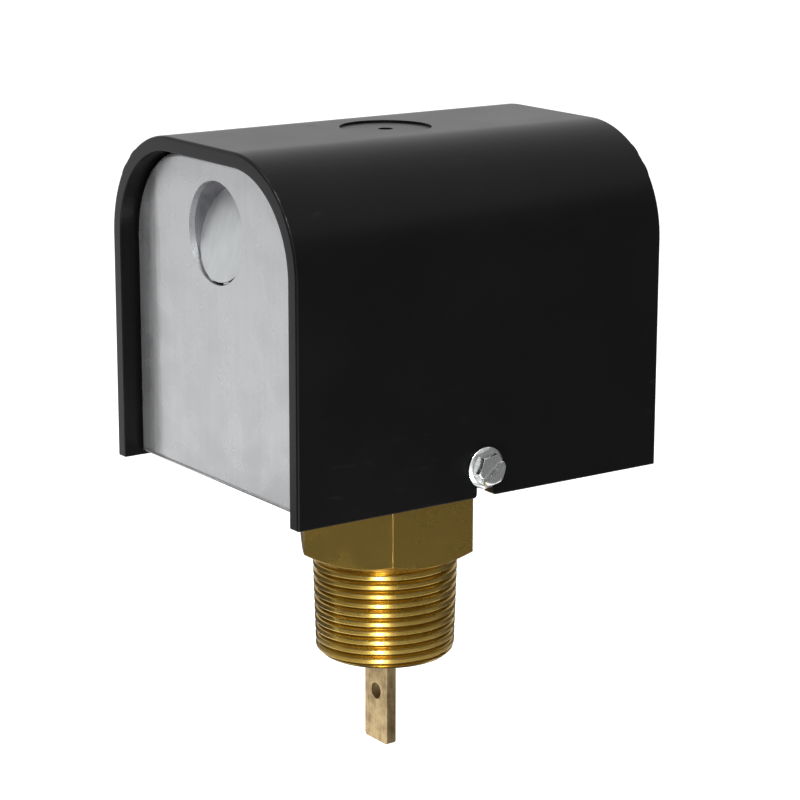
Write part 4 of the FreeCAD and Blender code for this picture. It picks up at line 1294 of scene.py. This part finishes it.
@dataclass
class Bellows:
    """The thin folded tube that seals the rod and bends as the lever swings."""

    bore: float = 4.9
    valley: float = 5.5
    crest: float = 7.2
    foot: float = 5.05
    top: float = 22.55
    folds: int = 6
    fold_steps: int = 12
    skin: float = 0.25

    def build(self) -> None:
        """Build and dress the bellows."""
        steps = self.folds * self.fold_steps
        middle, swing = (self.valley + self.crest) / 2, (self.crest - self.valley) / 2
        rise = (self.top - self.foot) / steps
        outer = [(middle - swing * math.cos(2 * math.pi * k / self.fold_steps),
                  self.foot + rise * k) for k in range(steps + 1)]
        inner = [(max(r - self.skin * 2, self.bore), z) for r, z in reversed(outer)]
        piece = lathed("bellows_folded_tube", outer + inner, 72, closed=True)
        smoothed(piece, sharp=50)
        dress(piece, Slot.BELLOWS)
        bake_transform(piece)
        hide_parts("bellows")
        LOG.info("%s bends between housing and lever", piece.name)


@dataclass
class RangeSpring:
    """The range spring, one half squeezed by the lever and one by the seat nut."""

    mean: float = 3.75
    wire: float = 0.5
    start: float = -21.9
    end: float = -5.1
    line: float = 54.65
    turns: float = 7.0
    end_turns: float = 1.0
    lever_share: float = 0.665
    seat_share: float = 0.714

    def half(self, name: str, first: float, last: float,
             dead_first: bool) -> bpy.types.Object:
        """Wind one half along Y.

        Args:
            name: The piece's name.
            first: Where it starts along Y.
            last: Where it ends.
            dead_first: Whether the flat end turn is at its start.

        Returns:
            The piece.
        """
        dead = 2.0 * self.wire * self.end_turns
        if dead_first:
            low, high = first + self.wire, last
            heights = [low, low + dead, high]
            turns = [0.0, self.end_turns, self.turns / 2]
        else:
            low, high = first, last - self.wire
            heights = [low, high - dead, high]
            turns = [self.turns / 2, self.turns - self.end_turns, self.turns]
        piece = coil(name, self.mean, self.wire, heights, turns)
        moved(piece, Matrix(((1, 0, 0, 0), (0, 0, 1, 0),
                             (0, -1, 0, self.line), (0, 0, 0, 1))))
        smoothed(piece, sharp=60)
        dress(piece, Slot.SPRING)
        return shown(piece, Rides.HOUSING, "range_spring")

    def build(self) -> None:
        """Build both halves, each with a mesh of its own."""
        middle = (self.start + self.end) / 2
        seat = self.half("range_spring_seat_half", self.start, middle, True)
        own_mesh(seat)
        lever = self.half("range_spring_lever_half", middle, self.end, False)
        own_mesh(lever)


# ------------------------------------------------------------------ cover screws


@dataclass
class CoverScrew:
    """A slotted hexagon screw with a pressed washer, one in each long wall."""

    side: Side
    node: str
    seat: float = 38.15
    height: float = 28.15
    washer_radius: float = 4.65
    washer_depth: float = 0.9
    washer_edge: float = 0.08
    rim: Pair = (0.14, 0.34)
    dish_rise: float = 0.52
    dish_inset: float = 0.25
    dish_foot: float = 0.75
    seat_inset: float = 0.35
    flats: float = 6.35
    head_depth: float = 2.1
    head_turn: float = 8.0
    head_edge: float = 0.1
    crown_depth: float = 0.5
    crown: tuple[Pair, Pair] = ((0.05, 0.06), (0.7, 0.0))
    shank: float = 2.08
    point: float = 0.6
    thread_depth: float = 0.42
    thread_pitch: float = 0.9
    thread_turns: int = 8
    thread_start: float = 0.5
    neck: float = 0.12
    neck_depth: float = 0.3
    reach: float = 8.0
    slot_width: float = 0.95
    slot_depth: float = 0.8
    slot_turn: float = 38.0
    sunk: float = 0.1
    steps: int = 72

    def washer(self) -> bpy.types.Object:
        """Turn the threaded shank with the washer.

        Returns:
            The piece, with its axis along Z.
        """
        rim, low, neck = self.washer_radius, -self.reach, self.shank - self.neck_depth
        profile: list[Pair] = [(0, low), (self.shank - self.point, low)]
        for turn in range(self.thread_turns):
            z = low + self.thread_start + turn * self.thread_pitch
            profile += [(self.shank - self.thread_depth, z),
                        (self.shank, z + self.thread_pitch / 2)]
        profile += [(neck, -self.neck), (neck, 0), (rim - self.seat_inset, 0),
                    (rim, self.rim[0]), (rim, self.rim[1]),
                    (rim - self.dish_inset, self.dish_rise),
                    (self.flats / 2 + self.dish_foot, self.washer_depth),
                    (0, self.washer_depth)]
        name = "cover_screw_detail_" + self.side.name.lower()
        piece = lathed(name, profile, self.steps)
        rounded(piece, self.washer_edge, segments=2, least=25)
        return smoothed(piece, sharp=35)

    def head(self) -> bpy.types.Object:
        """Cut the crowned hexagon with its slot.

        Returns:
            The head, with its axis along Z.
        """
        low, top = self.washer_depth, self.washer_depth + self.head_depth
        below, outside = low - 2 * self.sunk, self.flats / math.sqrt(3) + 2 * self.sunk
        piece = prism("head", hexagon(self.flats, self.head_turn), low - self.sunk, top)
        crown = [(self.flats / 2 - inset, top - drop) for inset, drop in self.crown]
        tool = lathed("crown_tool", [(0, below), (outside, below),
                                     (outside, top - self.crown_depth), *crown, (0, top)],
                      self.steps)
        combined(piece, tool, Cut.INSIDE)
        long, wide = self.flats, self.slot_width / 2
        slot = prism("slot_tool", [(-long, -wide), (long, -wide), (long, wide),
                                   (-long, wide)],
                     top - self.slot_depth, top + self.slot_depth)
        turn = Matrix.Rotation(math.radians(self.slot_turn), 4, "Z")
        combined(piece, moved(slot, turn))
        rounded(piece, self.head_edge, segments=2, least=28)
        return smoothed(piece, sharp=30)

    def build(self) -> None:
        """Build and dress the screw."""
        piece = merged(self.washer(), self.head())
        across = self.side.value
        moved(piece, facing((across, 0, 0), (across * self.seat, 0, self.height)))
        dress(piece, Slot.SCREW)
        shown(piece, Rides.HOUSING, self.node)


# ------------------------------------------------------------------ chassis and solids


@dataclass
class CarriedSolids:
    """The solids that keep their shape and get their finish here."""

    own: dict[str, Finish] = field(default_factory=lambda: {
        # The chassis colour carries painted shade at its left and lower edges.
        "chassis": ChassisPlateWithPaintedShade("zinc_plated_chassis_painted_shade", light=(0.342, 0.346, 0.354),
                                dark=(0.324, 0.327, 0.333), smooth=0.25, metal=0.7),
        # The slug's zinc is painted lighter than the chassis: painted light that offsets
        # the darker reflection its lean gives.
        "knockout_slug": PlatedSteel("zinc_plated_slug_painted_light", light=(0.62, 0.635, 0.645),
                                     dark=(0.56, 0.575, 0.585), smooth=0.58),
    })

    def build(self) -> None:
        """Give every CAD node the finish of its slot, or one of its own."""
        slots = {row["node"]: Slot(row["material_slot"])
                 for row in frame["record"]["subparts"]}
        for name, node in sorted(frame["nodes"].items()):
            finish = self.own.get(name, FINISHES[slots[name]])
            node.data.materials.clear()
            node.data.materials.append(finish.material())
            LOG.info("%s takes %s", name, finish.name)


@dataclass
class KnockoutLip:
    """The thin metal drawn inwards between the hole and the leaning slug, its dark grey
    painted shade of the gap round the slug.
    """

    hole: float = 11.3
    slug: float = 10.6
    height: float = 78.25
    front: float = -44.025
    sheet: float = 1.5
    sunk: float = 0.05
    behind: float = 0.25
    lean: float = 16.0
    skin: float = 0.25
    steps: int = 40
    start: float = 52.0
    end: float = 250.0
    # Dark grey: painted shade of the gap between the hole and the slug.
    finish: Finish = PlatedSteel("zinc_lip_painted_shade", light=(0.20, 0.20, 0.21),
                                 dark=(0.12, 0.12, 0.13), smooth=0.72)

    def build(self) -> None:
        """Build and dress the lip."""
        lean = math.radians(self.lean)
        points: list[Point] = []
        for step in range(self.steps + 1):
            share = step / self.steps
            turn = math.radians(self.start + (self.end - self.start) * share)
            out, up = math.cos(turn), math.sin(turn)
            rise = self.slug * (1 + up)
            far = (self.slug * out, self.front + rise * math.sin(lean) + self.behind,
                   self.height - self.slug + rise * math.cos(lean))
            near = (self.hole * out, self.front + self.sheet - self.sunk,
                    self.height + self.hole * up)
            for scale in (1.0, 1.0 + self.skin / self.hole):
                for x, y, z in (near, far):
                    points.append((x * scale, y,
                                   self.height + (z - self.height) * scale))
        faces = []
        for step in range(self.steps):
            a, b = 4 * step, 4 * step + 4
            faces += [[a, a + 1, b + 1, b], [a + 2, b + 2, b + 3, a + 3],
                      [a, b, b + 2, a + 2], [a + 1, a + 3, b + 3, b + 1]]
        last = 4 * self.steps
        faces += [[0, 2, 3, 1], [last, last + 1, last + 3, last + 2]]
        piece = smoothed(new_piece("knockout_drawn_lip", points, faces), sharp=40)
        dress(piece, Slot.SHEET, self.finish)
        shown(piece, Rides.HOUSING)


# ------------------------------------------------------------------ the setting


def compass(azimuth: float, elevation: float) -> Vector:
    """Return the direction away from the object, by its two angles in degrees."""
    a, e = math.radians(azimuth), math.radians(elevation)
    return Vector((math.sin(a) * math.cos(e), -math.cos(a) * math.cos(e), math.sin(e)))


@dataclass(frozen=True)
class Card:
    """A curved grey card round part of the object, in degrees and millimetres."""

    name: str
    start: float
    end: float
    distance: float
    low: float
    top: float
    shade: float = 0.10
    steps: int = 16

    def piece(self) -> bpy.types.Object:
        """Bend the card round the object.

        Returns:
            The bare card.
        """
        points: list[Point] = []
        for k in range(self.steps + 1):
            a = math.radians(self.start + (self.end - self.start) * k / self.steps)
            x, y = self.distance * math.sin(a), -self.distance * math.cos(a)
            points += [(x, y, self.low), (x, y, self.top)]
        faces = [[2 * k, 2 * k + 2, 2 * k + 3, 2 * k + 1] for k in range(self.steps)]
        return new_piece(self.name, points, faces)


@dataclass(frozen=True)
class Lamp:
    """A soft rectangular light that faces the object, in millimetres and watts."""

    name: str
    azimuth: float
    elevation: float
    distance: float
    size: Pair
    power: float
    aim: float = 30.0

    def hang(self) -> None:
        """Hang the light."""
        back = compass(self.azimuth, self.elevation)
        data = bpy.data.lights.new(self.name, "AREA")
        data.shape = "RECTANGLE"
        data.size, data.size_y = self.size[0] * MM, self.size[1] * MM
        data.energy = self.power
        item = bpy.data.objects.new(self.name, data)
        item.location = (Vector((0, 0, self.aim)) + back * self.distance) * MM
        item.rotation_mode = "QUATERNION"
        item.rotation_quaternion = back.to_track_quat("Z", "Y")
        bpy.context.scene.collection.objects.link(item)


@dataclass
class Setting:
    """The pale floor, the grey cards, the soft lights and the camera."""

    azimuth: float = 55.02
    elevation: float = 13.80
    roll: float = 0.14
    distance: float = 604.8
    aside: float = 3.36
    aim_height: float = 35.46
    lens: float = 119.9925
    sensor: float = 36.0
    floor_height: float = -114.0
    floor_reach: float = 5200.0
    floor_steps: int = 24
    card_foot: float = 1.0
    card_radius: float = 80.0
    card_depth: float = 0.5
    card_shade: float = 0.10
    horizon_light: float = 1.08
    overhead_light: float = 0.60
    overhead: float = 0.9
    lamps: tuple[Lamp, ...] = (
        Lamp("key_light", 47, -18.6, 262, size=(44, 34), power=0.26, aim=-12),
        Lamp("high_light", 42, 50, 900, size=(60, 260), power=6.0),
        Lamp("top_light", 30, 75, 1100, size=(900, 900), power=6.0),
    )

    def cards(self) -> list[Card]:
        """List the cards that stand round the object, from its right side on.

        Returns:
            The cards.
        """
        foot = self.floor_height + self.card_foot
        return [
            Card("card_right", 62, 176, 215, low=foot, top=190, shade=0.15),
            Card("card_right_near", 66, 215, 95, low=foot, top=-70),
            Card("card_left", -26, 34, 215, low=foot, top=190, shade=0.14),
            Card("card_left_low", -125, -26, 215, low=-94, top=-40),
            Card("card_left_near", -125, -26, 60, low=-42, top=-6, shade=0.06),
            Card("card_back_near", 150, 232, 60, low=-42, top=-6, shade=0.08),
        ]

    def camera(self) -> None:
        """Place the camera."""
        data = bpy.data.cameras.new("studio_camera")
        data.sensor_width = self.sensor
        data.lens = self.lens
        data.clip_start, data.clip_end = 0.05, 60.0
        data.dof.use_dof = False
        right = compass(self.azimuth + 90, 0)
        back = compass(self.azimuth, self.elevation)
        target = right * self.aside + Vector((0, 0, self.aim_height))
        matrix = Matrix((right, back.cross(right), back)).transposed().to_4x4()
        matrix = matrix @ Matrix.Rotation(math.radians(self.roll), 4, "Z")
        matrix.translation = (target + back * self.distance) * MM
        item = bpy.data.objects.new("studio_camera", data)
        item.matrix_world = matrix
        bpy.context.scene.collection.objects.link(item)
        bpy.context.scene.camera = item

    def floor(self) -> None:
        """Lay the pale, flat floor."""
        steps, reach = self.floor_steps, self.floor_reach
        lines = [(2 * i / steps - 1) * reach for i in range(steps + 1)]
        points = [(x, y, self.floor_height) for x in lines for y in lines]
        corners = [i * (steps + 1) + j for i in range(steps) for j in range(steps)]
        faces = [[a, a + steps + 1, a + steps + 2, a + 1] for a in corners]
        item = new_piece("studio_floor", points, faces)
        item.data.materials.append(StudioFloor("studio_sweep").material())

    def stand(self, card: bpy.types.Object, shade: float) -> None:
        """Make a piece a grey card that shows in gloss alone.

        Args:
            card: The piece.
            shade: How light its grey is.
        """
        card.data.materials.append(StudioCard(card.name + "_grey", shade).material())
        for way in ("camera", "diffuse", "shadow", "transmission", "volume_scatter"):
            setattr(card, f"visible_{way}", False)

    def sky(self) -> None:
        """Give the room its even light, dimmer overhead."""
        world = bpy.data.worlds.new("studio_room")
        world.use_nodes = True
        tree = world.node_tree
        shade = tree.nodes["Background"]
        place = tree.nodes.new("ShaderNodeTexCoord").outputs["Generated"]
        split = tree.nodes.new("ShaderNodeSeparateXYZ")
        tree.links.new(place, split.inputs[0])
        spread = tree.nodes.new("ShaderNodeMapRange")
        for name, number in (("From Min", 0.0), ("From Max", self.overhead),
                             ("To Min", self.horizon_light),
                             ("To Max", self.overhead_light)):
            spread.inputs[name].default_value = number
        tree.links.new(split.outputs["Z"], spread.inputs["Value"])
        tree.links.new(spread.outputs["Result"], shade.inputs["Strength"])
        shade.inputs["Color"].default_value = (1, 1, 1, 1)
        bpy.context.scene.world = world

    def build(self) -> None:
        """Set the whole stage."""
        bpy.context.scene.view_settings.view_transform = "Standard"
        self.sky()
        self.floor()
        foot = self.floor_height + self.card_foot
        self.stand(prism("card_below", disc(self.card_radius), foot - self.card_depth,
                         foot), self.card_shade)
        for card in self.cards():
            self.stand(card.piece(), card.shade)
        for lamp in self.lamps:
            lamp.hang()
        self.camera()


# ------------------------------------------------------------------ assembly


class Assembly(Protocol):
    """Anything that main builds."""

    def build(self) -> None:
        """Build and dress it."""


def main() -> None:
    """Set the stage, dress the solids and build the switch's pieces in order."""
    logging.basicConfig(level=logging.INFO, format="%(name)s: %(message)s")
    assemblies: list[Assembly] = [
        Setting(),
        CarriedSolids(),
        KnockoutLip(),
        CoverShell(),
        BrassBody(),
        PaddleBar(),
        Bellows(),
        RangeSpring(),
        CoverScrew(Side.RIGHT, "cover_screw_right"),
        CoverScrew(Side.LEFT, "cover_screw_left"),
    ]
    for assembly in assemblies:
        assembly.build()
        LOG.info("%s done", type(assembly).__name__)


if __name__ == "__main__":
    main()
